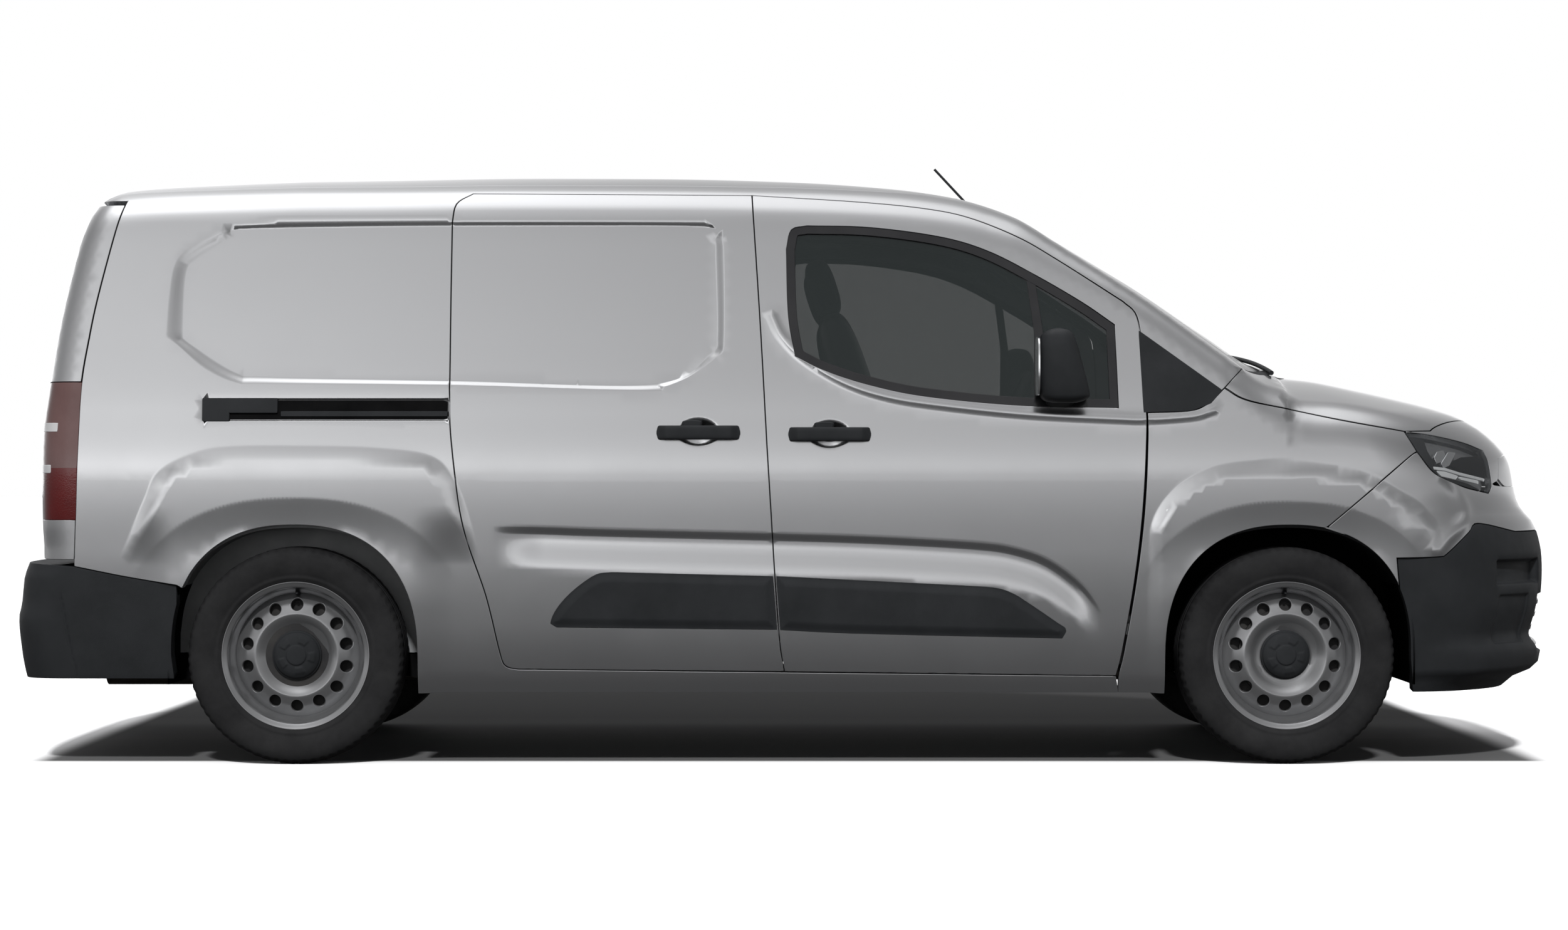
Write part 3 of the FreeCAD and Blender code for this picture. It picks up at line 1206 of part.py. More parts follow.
def firewall():
    """Stepped wall between the engine bay and the cab, under the dashboard and up to the scuttle."""
    place = front_axle - S.wheelhouse_reach + tight
    side = S.half_body - S.side_wall * 2
    t = S.bulkhead_wall
    middle = place + S.dash_depth * DASH_AHEAD_SHARE
    low = S.dash_top - S.dash_height - t - tight
    high = S.dash_top - t
    fore = S.screen_base_place
    block = box(place, place + t, -side, side, S.sill_bottom + S.shut_gap, low + t)
    block = block.fuse([box(place, middle + t, -side, side, low, low + t),
                        box(middle, middle + t, -side, side, low, high + t),
                        box(middle, fore + t, -side, side, high, high + t),
                        box(fore, fore + t, -side, side, high, top_high)])
    inset = S.skin_wall * FIREWALL_INSET_SHARE
    block = block.common(body_block(S.side_wall * FIREWALL_INSET_SHARE, inset, S.end_wall))
    return biggest(block.cut(swing).cut(mirrored(swing)))


SPOKE_ANGLES = (0, 130, 230)


def steering_wheel():
    ring = Part.makeTorus(S.wheel_ring, S.ring_radius)
    boss = Part.makeCylinder(S.boss_radius, S.boss_height, Vector(0, 0, -S.boss_height))
    spokes = []
    for angle in SPOKE_ANGLES:
        corner = Vector(0, -S.spoke_width / 2, -S.spoke_wall)
        spoke = Part.makeBox(S.wheel_ring, S.spoke_width, S.spoke_wall, corner)
        spoke.rotate(Vector(0, 0, 0), Vector(0, 0, 1), angle)
        spokes.append(spoke)
    column = Part.makeCylinder(S.column_radius, S.column_length, Vector(0, 0, -S.column_length))
    return biggest(ring.fuse([boss, column] + spokes))


def column_placement():
    lean = FreeCAD.Rotation(Vector(0, 1, 0), -S.column_lean)
    return FreeCAD.Placement(Vector(S.column_place, S.driver_side, S.column_height), lean)


MIRROR_FOOT_SHARE = 0.6
MIRROR_IN_SHARE = 0.9


def mirror():
    """Outside mirror on its foot, on the right front door."""
    reach = S.mirror_reach
    rear = S.mirror_place - S.mirror_width / 2
    body = box(rear, rear + S.mirror_width, -reach, S.mirror_depth - reach, S.mirror_top - S.mirror_height,
               S.mirror_top)
    body = body.makeFillet(S.mirror_round, body.Edges)
    wide = S.mirror_foot_wall
    low = S.mirror_foot_height - wide / 2
    foot = box(S.mirror_place - wide, S.mirror_place + wide, S.mirror_depth * MIRROR_FOOT_SHARE - reach,
               -S.half_body * MIRROR_IN_SHARE, low, low + wide)
    return biggest(body.fuse(foot).cut(side_block(-tight)))


def handle(place):
    """A pull handle that bridges its finger cup, on the right side."""
    height = S.handle_height
    skin_y = -half_width(place, height)
    out = skin_y - S.handle_proud
    x0 = place - S.handle_length / 2
    bar = box(x0, x0 + S.handle_length, out, skin_y + S.handle_leg, height - S.handle_wall / 2,
              height + S.handle_wall / 2)
    gap = box(x0 + S.handle_leg, x0 + S.handle_length - S.handle_leg, out + S.handle_wall / 2,
              skin_y + S.handle_leg, height - S.handle_wall, height + S.handle_wall)
    return biggest(bar.cut(gap).cut(side_block(-tight)))


WIPER_SHARES = (-0.62, 0.1)
BLADE_RAISE_SHARE = 1.3
BLADE_POINTS = 6


def wipers():
    """Two blades parked along the foot of the windscreen, bent to it."""
    solids = []
    for share in WIPER_SHARES:
        spots = []
        for step in spread(0.0, 1.0, BLADE_POINTS):
            x = S.screen_base_place - S.cowl_width / 2 - S.blade_sag * step
            y = S.half_body * share + S.blade_span * step
            spots.append(Vector(x, y, top_height(x, y) + S.wiper_radius * BLADE_RAISE_SHARE))
        path = Part.BSplineCurve()
        path.interpolate(spots)
        ring = Part.Wire([Part.makeCircle(S.wiper_radius, spots[0], spots[1].sub(spots[0]))])
        solids += Part.Wire([path.toShape()]).makePipeShell([ring], True, True).Solids
    return solids


def pair(shape):
    """A solid and its mirror image, as one node."""
    return Part.makeCompound([shape, mirrored(shape)])


def build():
    side = side_panel()
    form("side_right", side)
    form("side_left", mirrored(side))
    form("sliding_doors", pair(sliding_door()))
    door = front_door()
    form("front_door_right", door)
    form("front_door_left", mirrored(door))
    pane = door_glass()
    form("door_glass_right", pane)
    form("door_glass_left", mirrored(pane))
    form("fenders", pair(fender()))
    form("bonnet", bonnet())
    right, left = rear_door_pair()
    form("rear_door_right", right)
    form("rear_door_left", left)
    lamp, cheek = tail_pieces()
    form("tail_lamps", pair(lamp))
    form("rear_corners", pair(cheek))
    form("roof", roof())
    form("windscreen", windscreen())
    form("cowl", cowl())
    form("nose_panel", nose_panel())
    form("grille", grille())
    form("headlamps", pair(headlamp()))
    form("front_bumper", front_bumper())
    form("rear_bumper", rear_bumper())
    form("underbody", underbody())
    form("bulkhead", bulkhead())
    form("front_liners", pair(front_liner()))
    form("firewall", firewall())
    form("seats", seats())
    form("dashboard", dashboard())
    form("steering_wheel", steering_wheel(), column_placement())
    trim = [lower_moulding(SLIDING_DOOR_SHARES), handle(S.slide_handle_place)]
    form("slide_trim", Part.makeCompound(trim + [mirrored(piece) for piece in trim]))
    trim = [lower_moulding(FRONT_DOOR_SHARES), handle(S.front_handle_place)]
    form("front_trim_right", Part.makeCompound(trim))
    form("front_trim_left", Part.makeCompound([mirrored(piece) for piece in trim]))
    housing = mirror()
    form("mirror_right", housing)
    form("mirror_left", mirrored(housing))
    form("wipers", Part.makeCompound(wipers()))
    wheels()
    for hand, direction in SIDES:
        knuckle(hand, direction)
    rear_axle_beam()
    engine_and_frame()
    exhaust()
    antenna()
    tank = part("Box", "fuel_tank", Length=S.tank_length, Width=S.tank_width, Height=S.tank_height)
    tank_place = rear_axle + S.wheelhouse_reach + S.tank_ahead
    put(tank, tank_place, S.tank_width / -2, S.floor_height - S.floor_wall - tight - S.tank_height)
    keep("fuel_tank", tank)


def finish():
    """Check every object and write each sub-part to its own file."""
    doc.recompute()
    for thing in doc.Objects:
        if "Invalid" in thing.State or "Error" in thing.State:
            raise RuntimeError("%s is in state %s" % (thing.Label, thing.State))
    os.makedirs("parts", exist_ok=True)
    for name, thing in nodes.items():
        shape = thing.Shape
        if shape.isNull() or not shape.isValid():
            raise RuntimeError("%s has no valid shape" % name)
        shape.exportStep("parts/%s.step" % name)
        print(name, len(shape.Solids), "%.1f" % (shape.Volume / 1e6))


build()
finish()
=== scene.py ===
import json
import math

import bpy
import numpy as np
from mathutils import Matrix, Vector
from mathutils.geometry import delaunay_2d_cdt


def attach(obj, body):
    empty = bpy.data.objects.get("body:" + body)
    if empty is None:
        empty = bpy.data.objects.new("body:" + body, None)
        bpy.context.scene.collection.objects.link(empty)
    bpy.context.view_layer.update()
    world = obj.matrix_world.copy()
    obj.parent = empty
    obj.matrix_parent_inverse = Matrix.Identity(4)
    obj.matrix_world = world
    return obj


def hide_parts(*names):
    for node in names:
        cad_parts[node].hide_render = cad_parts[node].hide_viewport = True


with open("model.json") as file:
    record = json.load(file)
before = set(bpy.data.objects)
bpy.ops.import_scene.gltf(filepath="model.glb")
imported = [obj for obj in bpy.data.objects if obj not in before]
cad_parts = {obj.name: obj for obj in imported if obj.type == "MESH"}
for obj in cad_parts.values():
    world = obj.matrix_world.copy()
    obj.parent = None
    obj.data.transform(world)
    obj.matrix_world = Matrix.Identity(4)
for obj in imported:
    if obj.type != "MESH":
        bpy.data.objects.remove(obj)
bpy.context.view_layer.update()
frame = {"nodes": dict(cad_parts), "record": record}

# Sizes of the van in metres, and its surfaces as shares of them
HEIGHT = 1.8
HALF = 0.924
WHEELBASE = 2.975
FRONT_OVERHANG = 0.892
REAR_OVERHANG = 0.886
FRONT = 1.4845
REAR = -1.4905
FRONT_END = FRONT + FRONT_OVERHANG
REAR_END = REAR - REAR_OVERHANG
WHEEL_RADIUS = 0.326
SILL = 0.214
ARCH_REACH = 0.368
ARCH_RISE = 0.392
ARCH_POWER = 2.35
ROOF_SEAM = 0.69
GAP = 0.0028
END_INSET = 0.002
TAIL_CURVE = 0.086
DOORS = ("door_right", "door_left")
RIGHTWARD = (0, -1, 0)
FORWARD = (1, 0, 0)
BACKWARD = (-1, 0, 0)
UPWARD = (0, 0, 1)

SIDE_SHARES = [(0.06, 0.91), (0.111, 0.938), (0.15, 0.961), (0.233, 0.977), (0.356, 0.987), (0.481, 0.991),
               (0.589, 0.975), (0.717, 0.941), (0.844, 0.897), (0.911, 0.866), (0.959, 0.822), (0.99, 0.745),
               (1.03, 0.56)]
TOP_SHARES = [(-1.15, 0.87), (-1.0, 0.915), (-0.795, 0.953), (-0.661, 0.974), (-0.525, 0.982),
              (-0.257, 0.989), (0.084, 0.996), (0.232, 1.0), (0.365, 0.999), (0.501, 0.993), (0.606, 0.981),
              (0.669, 0.966),
              (0.726, 0.937), (0.77, 0.897), (0.852, 0.821), (0.935, 0.731), (0.985, 0.679), (1.045, 0.657),
              (1.18, 0.648), (1.318, 0.634), (1.453, 0.619), (1.59, 0.602), (1.726, 0.578), (1.862, 0.541),
              (2.0, 0.49), (2.15, 0.42)]
CROWN_SHARES = [(-1.2, 0.02), (-0.6, 0.017), (0.6, 0.017), (0.73, 0.018), (0.83, 0.026), (0.93, 0.031),
                (1.04, 0.035), (1.3, 0.031), (2.2, 0.03)]
NOSE_SHARES = [(0.06, 0.80), (0.111, 0.85), (0.13, 0.885), (0.155, 0.984), (0.182, 0.994), (0.209, 0.966),
               (0.236, 0.98), (0.263, 0.993), (0.317, 1.0), (0.344, 0.998), (0.371, 0.988), (0.398, 0.969),
               (0.426, 0.922), (0.452, 0.902), (0.478, 0.894), (0.507, 0.881), (0.533, 0.854), (0.561, 0.815),
               (0.611, 0.74), (0.75, 0.68), (1.1, 0.6)]
TAIL_SHARES = [(0.06, 0.914), (0.356, 0.914), (0.4, 0.919), (0.506, 0.922), (0.559, 0.917), (0.613, 0.901),
               (0.719, 0.865), (0.825, 0.815), (0.878, 0.785), (0.931, 0.744), (0.974, 0.69), (1.1, 0.5)]
REAR_BUMPER_SHARES = [(0.06, 0.90), (0.111, 0.93), (0.134, 0.966), (0.188, 0.99), (0.241, 1.0), (0.267, 0.99),
                      (0.311, 0.981), (0.333, 0.965), (0.4, 0.93), (0.6, 0.9), (1.1, 0.88)]
CROWN_HALF = 0.7


def along(share):
    """Place along the van: 0 to 1 between the axles, below 0 and above 1 in the overhangs."""
    if share < 0:
        return REAR + REAR_OVERHANG * share
    if share > 1:
        return FRONT + FRONT_OVERHANG * (share - 1)
    return REAR + WHEELBASE * share


def smooth(table, share):
    """Monotone cubic curve through the points of a table."""
    places, values = np.array(table).T
    steps = np.diff(values) / np.diff(places)
    product = steps[:-1] * steps[1:]
    total = np.where(product > 0, steps[:-1] + steps[1:], 1)
    slopes = np.concatenate([steps[:1], np.where(product > 0, 2 * product / total, 0), steps[-1:]])
    share = np.clip(share, places[0], places[-1])
    i = np.clip(np.searchsorted(places, share, side="right") - 1, 0, len(places) - 2)
    reach = places[i + 1] - places[i]
    t = (share - places[i]) / reach
    return (values[i] * (1 + 2 * t) * (1 - t) ** 2 + slopes[i] * reach * t * (1 - t) ** 2
            + values[i + 1] * t * t * (3 - 2 * t) - slopes[i + 1] * reach * t * t * (1 - t))


def half_width(x, z):
    start = along(0.87)
    nose = np.clip((x - start) / (FRONT_END - start), 0, None)
    tail = np.clip(x / REAR_END, 0, None)
    return HALF * smooth(SIDE_SHARES, z / HEIGHT) - 0.070 * nose ** 2.5 - 0.014 * tail ** 4


def top_height(x, y):
    share = np.where(x < REAR, (x - REAR) / REAR_OVERHANG,
                     np.where(x > FRONT, 1 + (x - FRONT) / FRONT_OVERHANG, (x - REAR) / WHEELBASE))
    drop = smooth(CROWN_SHARES, share) * (np.abs(y) / CROWN_HALF) ** 2.4
    return HEIGHT * (smooth(TOP_SHARES, share) - drop)


def nose_place(y, z):
    reach = smooth(NOSE_SHARES, z / HEIGHT)
    return FRONT + FRONT_OVERHANG * reach - 0.430 * (np.abs(y) / HALF) ** 3.2 - END_INSET


def tail_place(y, z, shares=TAIL_SHARES):
    reach = REAR_OVERHANG * smooth(shares, z / HEIGHT)
    return REAR - reach + TAIL_CURVE * (np.abs(y) / HALF) ** 5 + END_INSET


def bumper_place(y, z):
    return tail_place(y, z, REAR_BUMPER_SHARES)


def steepness(surface, a, b):
    e = 0.004
    da = (surface(a + e, b) - surface(a - e, b)) / (2 * e)
    db = (surface(a, b + e) - surface(a, b - e)) / (2 * e)
    return np.sqrt(1 + da * da + db * db)


def soft_max(a, b, reach):
    """The larger of two fields, rounded where they meet."""
    near = np.clip(reach - np.abs(a - b), 0, None) / reach
    return np.maximum(a, b) + near * near * reach / 4


def body_field(spots, tail=tail_place, nose_reach=0.07, tail_reach=0.06):
    """Below zero inside the body, above zero outside it."""
    x, y, z = spots[:, 0], np.abs(spots[:, 1]), spots[:, 2]
    side = (y - half_width(x, z)) / steepness(half_width, x, z)
    top = (z - top_height(x, y)) / steepness(top_height, x, y)
    nose = (x - nose_place(y, z)) / steepness(nose_place, y, z)
    rear = (tail(y, z) - x) / steepness(tail, y, z)
    pillar = np.clip((x - 0.6) / 0.35, 0, 1) * np.clip((1.5 - x) / 0.2, 0, 1)
    shell = soft_max(side, top, 0.10 - 0.045 * pillar)
    shell = soft_max(shell, nose, nose_reach)
    return soft_max(shell, rear, tail_reach)


def bumper_field(spots):
    return body_field(spots, bumper_place, tail_reach=0.09)


def columns(*values):
    """Rows of coordinates from their columns; a single number serves a whole column."""
    return np.stack(np.broadcast_arrays(*values), -1)


def unit(rows):
    """Rows brought to a length of one."""
    return rows / np.clip(np.linalg.norm(rows, axis=-1), 1e-12, None)[..., None]


def turns_of(count):
    """Even turns once round."""
    return np.linspace(0, 2 * np.pi, count, endpoint=False)


def cast(origins, rays, field=body_field, reach=1.3):
    """Where rays that start inside leave the body; one direction can serve all of them."""
    origins, rays = np.asarray(origins, float), np.asarray(rays, float)
    low = np.zeros(len(origins))
    high = np.full(len(origins), reach)
    for _ in range(17):
        middle = (low + high) / 2
        within = field(origins + rays * middle[:, None]) < 0
        low = np.where(within, middle, low)
        high = np.where(within, high, middle)
    return origins + rays * low[:, None]


PROBE = 0.0015


def gradient(field, spots):
    """How much a field grows along each axis, over a small step both ways."""
    return np.stack([field(spots + step) - field(spots - step) for step in PROBE * np.eye(3)], 1)


# Flat domains that the panels are drawn in: each turns a flat point into a ray from inside the body
FAN = 0.40
FAN_SIDE = 0.45
FAN_DROP = 0.285
TURN = 0.8
NOSE_MIDDLE = 1.50
TAIL_MIDDLE = -1.75
TOP_LOW = 0.75
BONNET_LOW = 0.55


def fan_centre(x):
    return top_height(x, ROOF_SEAM) - FAN_DROP


def side_rays(flat):
    x, t = flat.T
    centre = fan_centre(x)
    angle = np.clip(t - centre, 0, None) / FAN
    return columns(x, -FAN_SIDE, np.minimum(t, centre)), columns(0, -np.cos(angle), np.sin(angle))


def side_wrap(spots):
    x, y, z = spots[:, 0], np.abs(spots[:, 1]), spots[:, 2]
    centre = fan_centre(x)
    angle = np.arctan2(z - centre, y - FAN_SIDE)
    return columns(x, np.where(z > centre, centre + FAN * angle, z))


def end_rays(place, sign):
    """Rays that fan out level from an upright line, for the nose and the tail."""
    def rays(flat):
        angle = flat[:, 0] / TURN
        return columns(place, 0, flat[:, 1]), columns(sign * np.cos(angle), np.sin(angle), 0)
    return rays


def end_wrap(place, sign):
    def wrap(spots):
        angle = np.arctan2(spots[:, 1], sign * (spots[:, 0] - place))
        return columns(angle * TURN, spots[:, 2])
    return wrap


nose_rays, nose_wrap = end_rays(NOSE_MIDDLE, 1), end_wrap(NOSE_MIDDLE, 1)
tail_rays, tail_wrap = end_rays(TAIL_MIDDLE, -1), end_wrap(TAIL_MIDDLE, -1)


def top_rays(flat):
    return columns(*flat.T, TOP_LOW), UPWARD


def bonnet_rays(flat):
    angle = flat[:, 1] / TURN
    return columns(flat[:, 0], 0, BONNET_LOW), columns(0, np.sin(angle), np.cos(angle))


def bonnet_wrap(spots):
    return columns(spots[:, 0], TURN * np.arctan2(spots[:, 1], spots[:, 2] - BONNET_LOW))


def even(points, step=0.012):
    """A smooth line through points, cut into even steps; two points give a straight line."""
    points = np.asarray(points, float)
    if len(points) > 2:
        ends = [2 * points[0] - points[1]] + list(points) + [2 * points[-1] - points[-2]]
        fine = []
        for a, b, c, d in zip(ends, ends[1:], ends[2:], ends[3:]):
            for t in np.arange(0, 1, 0.05):
                fine.append(0.5 * (2 * b + (c - a) * t + (2 * a - 5 * b + 4 * c - d) * t * t
                                   + (3 * b - a - 3 * c + d) * t ** 3))
        points = np.array(fine + [points[-1]])
    lengths = np.concatenate([[0], np.cumsum(np.linalg.norm(np.diff(points, axis=0), axis=1))])
    count = max(2, int(round(lengths[-1] / step)) + 1)
    marks = np.linspace(0, lengths[-1], count)
    return np.stack([np.interp(marks, lengths, column) for column in points.T], 1)


def view_line(shares, step=0.012):
    """A line drawn in side view shares, as places and heights."""
    return even([(along(a), h * HEIGHT) for a, h in shares], step)


def on_side(line, field=body_field):
    """Side view points laid on the right side of the body."""
    return cast(columns(line[:, 0], 0, line[:, 1]), RIGHTWARD, field)


def on_top(line):
    return cast(*top_rays(np.asarray(line, float)))


def arch_line(axle, start, end, reach=ARCH_REACH, height=ARCH_RISE):
    """Side view points on a wheel arch between two turns in degrees, 0 in front and 180 behind."""
    turns = np.radians(np.linspace(start, end, 60))
    flat = np.sign(np.cos(turns)) * np.abs(np.cos(turns)) ** (2 / ARCH_POWER)
    tall = np.sin(turns) ** (2 / ARCH_POWER)
    return even(columns(axle + reach * flat, WHEEL_RADIUS + height * tall)[::3])


def loop_of(*lines):
    """One closed outline from lines end to end, without doubled points."""
    points = np.concatenate(lines)
    keep = np.linalg.norm(points - np.roll(points, 1, 0), axis=1) > 0.0015
    return points[keep]


def area_of(loop):
    x, y = loop.T
    return 0.5 * np.sum(x * np.roll(y, -1) - y * np.roll(x, -1))


def inset(loop, amount):
    """An outline moved inwards by a small amount."""
    ahead = unit(np.roll(loop, -1, 0) - loop)
    both = ahead + np.roll(ahead, 1, 0)
    normals = columns(-both[:, 1], both[:, 0]) * math.copysign(1, area_of(loop))
    sizes = np.clip(np.linalg.norm(normals, axis=1), 0.3, None)
    return loop + normals / sizes[:, None] * (amount * 2 / np.clip(sizes, 1.0, 2))[:, None]


def inside(points, loop):
    """Which points lie inside an outline."""
    x, y = points[:, 0], points[:, 1]
    found = np.zeros(len(points), bool)
    for (x0, y0), (x1, y1) in zip(loop, np.roll(loop, -1, 0)):
        if y0 == y1:
            continue
        crosses = (y0 > y) != (y1 > y)
        found ^= crosses & (x < (x1 - x0) * (y - y0) / (y1 - y0) + x0)
    return found


def distance(points, line, closed=True):
    """Distance of points from a line."""
    ends = np.roll(line, -1, 0) if closed else line[1:]
    starts = line if closed else line[:-1]
    best = np.full(len(points), 9.0)
    for a, b in zip(starts, ends):
        run = b - a
        size = run @ run
        if size < 1e-12:
            continue
        t = np.clip((points - a) @ run / size, 0, 1)
        best = np.minimum(best, np.linalg.norm(points - a - t[:, None] * run, axis=1))
    return best


def apart_from(points, others, reach):
    """Points with no other point in their own cell or the cells next to it."""
    used = {tuple(cell) for cell in np.floor(others / reach).astype(int)}
    keep = []
    for x, y in np.floor(points / reach).astype(int):
        keep.append(not any((x + i, y + j) in used for i in (-1, 0, 1) for j in (-1, 0, 1)))
    return points[np.array(keep, bool)]


# Least distances between the points of a panel
FEATURE_CELL = 0.0035
FEATURE_CLEAR = 0.008
EDGE_CLEAR = 0.003


def triangulate(loop, holes, extra, step):
    """Triangles that fill an outline: its own points, a grid and extra points along features."""
    low, high = loop.min(0), loop.max(0)
    grid = []
    for i, row in enumerate(np.arange(low[1] + step / 2, high[1], step * 0.87)):
        grid.append(columns(np.arange(low[0] + step * (0.25 + 0.5 * (i % 2)), high[0], step), row))
    grid = np.concatenate(grid) if grid else np.zeros((0, 2))
    clear = 0.5 * min(step, 0.02)
    grid = grid[inside(grid, loop)]
    grid = grid[distance(grid, loop) > clear]
    if len(extra):
        extra = extra[inside(extra, loop)]
        extra = extra[distance(extra, loop) > EDGE_CLEAR]
        first = np.unique(np.floor(extra / FEATURE_CELL).astype(int), axis=0, return_index=True)[1]
        extra = extra[np.sort(first)]
        grid = apart_from(grid, extra, FEATURE_CLEAR)
    for hole in holes:
        grid = grid[~inside(grid, hole) & (distance(grid, hole) > clear)]
        extra = extra[~inside(extra, hole) & (distance(extra, hole) > EDGE_CLEAR)]
    points, edges = [], []
    for ring in [loop, *holes]:
        start, count = len(points), len(ring)
        points += ring.tolist()
        edges += [(start + i, start + (i + 1) % count) for i in range(count)]
    points += grid.tolist() + extra.tolist()
    result = delaunay_2d_cdt([Vector(point) for point in points], edges, [], 0, 1e-6)
    flat = np.array([(v[0], v[1]) for v in result[0]])
    faces = np.array([face for face in result[2] if len(face) == 3])
    middles = flat[faces].mean(1)
    kept = inside(middles, loop)
    for hole in holes:
        kept &= ~inside(middles, hole)
    faces = faces[kept]
    used = np.unique(faces)
    renumber = np.full(len(flat), -1)
    renumber[used] = np.arange(len(used))
    return flat[used], renumber[faces]


class Shell:
    """Points, normals and faces of a piece."""

    def __init__(self):
        self.spots, self.normals, self.faces, self.count = [], [], [], 0

    def add(self, spots, normals, faces):
        self.spots.append(np.asarray(spots, float))
        self.normals.append(np.asarray(normals, float))
        self.faces += [tuple(int(i) + self.count for i in face) for face in faces]
        self.count += len(spots)

    def flipped(self):
        """The same piece on the other side of the van."""
        other = Shell()
        other.spots = [spots * (1, -1, 1) for spots in self.spots]
        other.normals = [normals * (1, -1, 1) for normals in self.normals]
        other.faces = [face[::-1] for face in self.faces]
        other.count = self.count
        return other

    def joined(self, other):
        both = Shell()
        both.spots = self.spots + other.spots
        both.normals = self.normals + other.normals
        both.faces = self.faces + [tuple(i + self.count for i in face) for face in other.faces]
        both.count = self.count + other.count
        return both


def together(shells):
    """Several shells as one."""
    whole = Shell()
    for shell in shells:
        whole = whole.joined(shell)
    return whole


def quads_of(rows, places, loop_rows=False, loop_places=False):
    """Faces between neighbours in a net of points, which can close on itself either way."""
    index = np.arange(rows * places).reshape(rows, places)
    if loop_rows:
        index = np.concatenate([index, index[:1]])
    if loop_places:
        index = np.concatenate([index, index[:, :1]], 1)
    a, b = index[:-1], index[1:]
    return np.stack([a[:, :-1], a[:, 1:], b[:, 1:], b[:, :-1]], 2).reshape(-1, 4)


def facing(spots, normals, faces):
    """Faces turned so that they look the way of their normals."""
    corners = spots[faces]
    across = np.cross(corners[:, 1] - corners[:, 0], corners[:, 2] - corners[:, 0])
    wrong = np.einsum("ij,ij->i", across, normals[faces].mean(1)) < 0
    faces = faces.copy()
    faces[wrong] = faces[wrong][:, ::-1]
    return faces


def rim_of(faces):
    """Edges that belong to one face, each in that face's direction."""
    seen = {}
    for face in faces:
        for i in range(3):
            a, b = int(face[i]), int(face[(i + 1) % 3])
            seen[(a, b)] = seen.get((a, b), 0) + 1
    return [edge for edge in seen if (edge[1], edge[0]) not in seen]


def lift(flat, rays, field, detail):
    """Flat points laid on the body with their pressed detail, and their normals."""
    spots = cast(*rays(flat), field)
    normals = unit(gradient(field, spots))
    if detail is None:
        return spots, normals
    slope = gradient(detail, spots) / (2 * PROBE)
    slope -= np.einsum("ij,ij->i", slope, normals)[:, None] * normals
    return spots + normals * detail(spots)[:, None], unit(normals - slope)


EDGE = 0.0016
LINING_STEP = 0.09


def panel(loop, rays, holes=(), detail=None, extra=(), step=0.024, depth=0.05, lining=True,
          field=body_field, raise_by=0.0, edge=EDGE):
    """A panel with rounded edges, walls of its own depth and a plain inner skin."""
    flat, faces = triangulate(loop, holes, np.asarray(extra, float).reshape(-1, 2), step)
    spots, normals = lift(flat, rays, field, detail)
    spots = spots + normals * raise_by
    faces = facing(spots, normals, faces)
    shell = Shell()
    shell.add(spots, normals, faces)
    edges = rim_of(faces)
    outward = np.zeros_like(spots)
    for a, b in edges:
        out = np.cross(spots[b] - spots[a], normals[a])
        out /= max(np.linalg.norm(out), 1e-9)
        outward[a] += out
        outward[b] += out
    ring = sorted({i for pair in edges for i in pair})
    number = {i: k for k, i in enumerate(ring)}
    base, up, out = spots[ring], normals[ring], unit(outward[ring])
    slant = out * 0.7 + up * 0.7
    rings = [(base, up), (base + out * edge * 0.65 - up * edge * 0.3, slant),
             (base + out * edge - up * edge, out), (base + out * edge - up * depth, out)]
    start, count = shell.count, len(ring)
    for ring_spots, ring_normals in rings:
        shell.add(ring_spots, ring_normals, [])
    for level in range(3):
        low = start + level * count
        high = low + count
        for a, b in edges:
            shell.faces.append((low + number[b], low + number[a], high + number[a], high + number[b]))
    if lining:
        flat, faces = triangulate(loop, holes, np.zeros((0, 2)), LINING_STEP)
        spots, normals = lift(flat, rays, field, None)
        faces = facing(spots, normals, faces)[:, ::-1]
        shell.add(spots - normals * (depth - raise_by), -normals, faces)
    return shell


def cut(loop, rays, gap=GAP, **values):
    """A panel whose outline is drawn in by a gap."""
    return panel(inset(loop, gap), rays, **values)


def sheet(loop, rays, step, depth, raise_by=0.0, edge=EDGE):
    """A small panel without an inner skin."""
    return panel(loop, rays, step=step, depth=depth, lining=False, raise_by=raise_by, edge=edge)


def make(name, shell, paint, body="root", replaces=()):
    """A Blender piece from a shell, with its own normals."""
    mesh = bpy.data.meshes.new(name)
    mesh.from_pydata(np.concatenate(shell.spots).tolist(), [], shell.faces)
    mesh.polygons.foreach_set("use_smooth", [True] * len(mesh.polygons))
    mesh.normals_split_custom_set_from_vertices(np.concatenate(shell.normals).tolist())
    mesh.materials.append(paint)
    thing = bpy.data.objects.new(name, mesh)
    bpy.context.scene.collection.objects.link(thing)
    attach(thing, body)
    if replaces:
        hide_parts(*replaces)
    return thing


def make_pair(name, shell, paint, replaces=()):
    """One fixed piece that stands on both sides of the van."""
    make(name, shell.joined(shell.flipped()), paint, "root", replaces)


def both_sides(name, shell, paint, nodes=None, bodies=("root", "root")):
    """The right and left copies of a piece, each in place of its node."""
    for hand, body, one in zip(("right", "left"), bodies, (shell, shell.flipped())):
        make(name + "_" + hand, one, paint, body, [nodes + "_" + hand] if nodes else ())


# Materials, all made of nodes
def shade_math(tree, kind, first, second, clamp=False):
    made = tree.nodes.new("ShaderNodeMath")
    made.operation = kind
    made.use_clamp = clamp
    for socket, value in zip(made.inputs, (first, second)):
        if isinstance(value, (int, float)):
            socket.default_value = value
        else:
            tree.links.new(value, socket)
    return made.outputs[0]


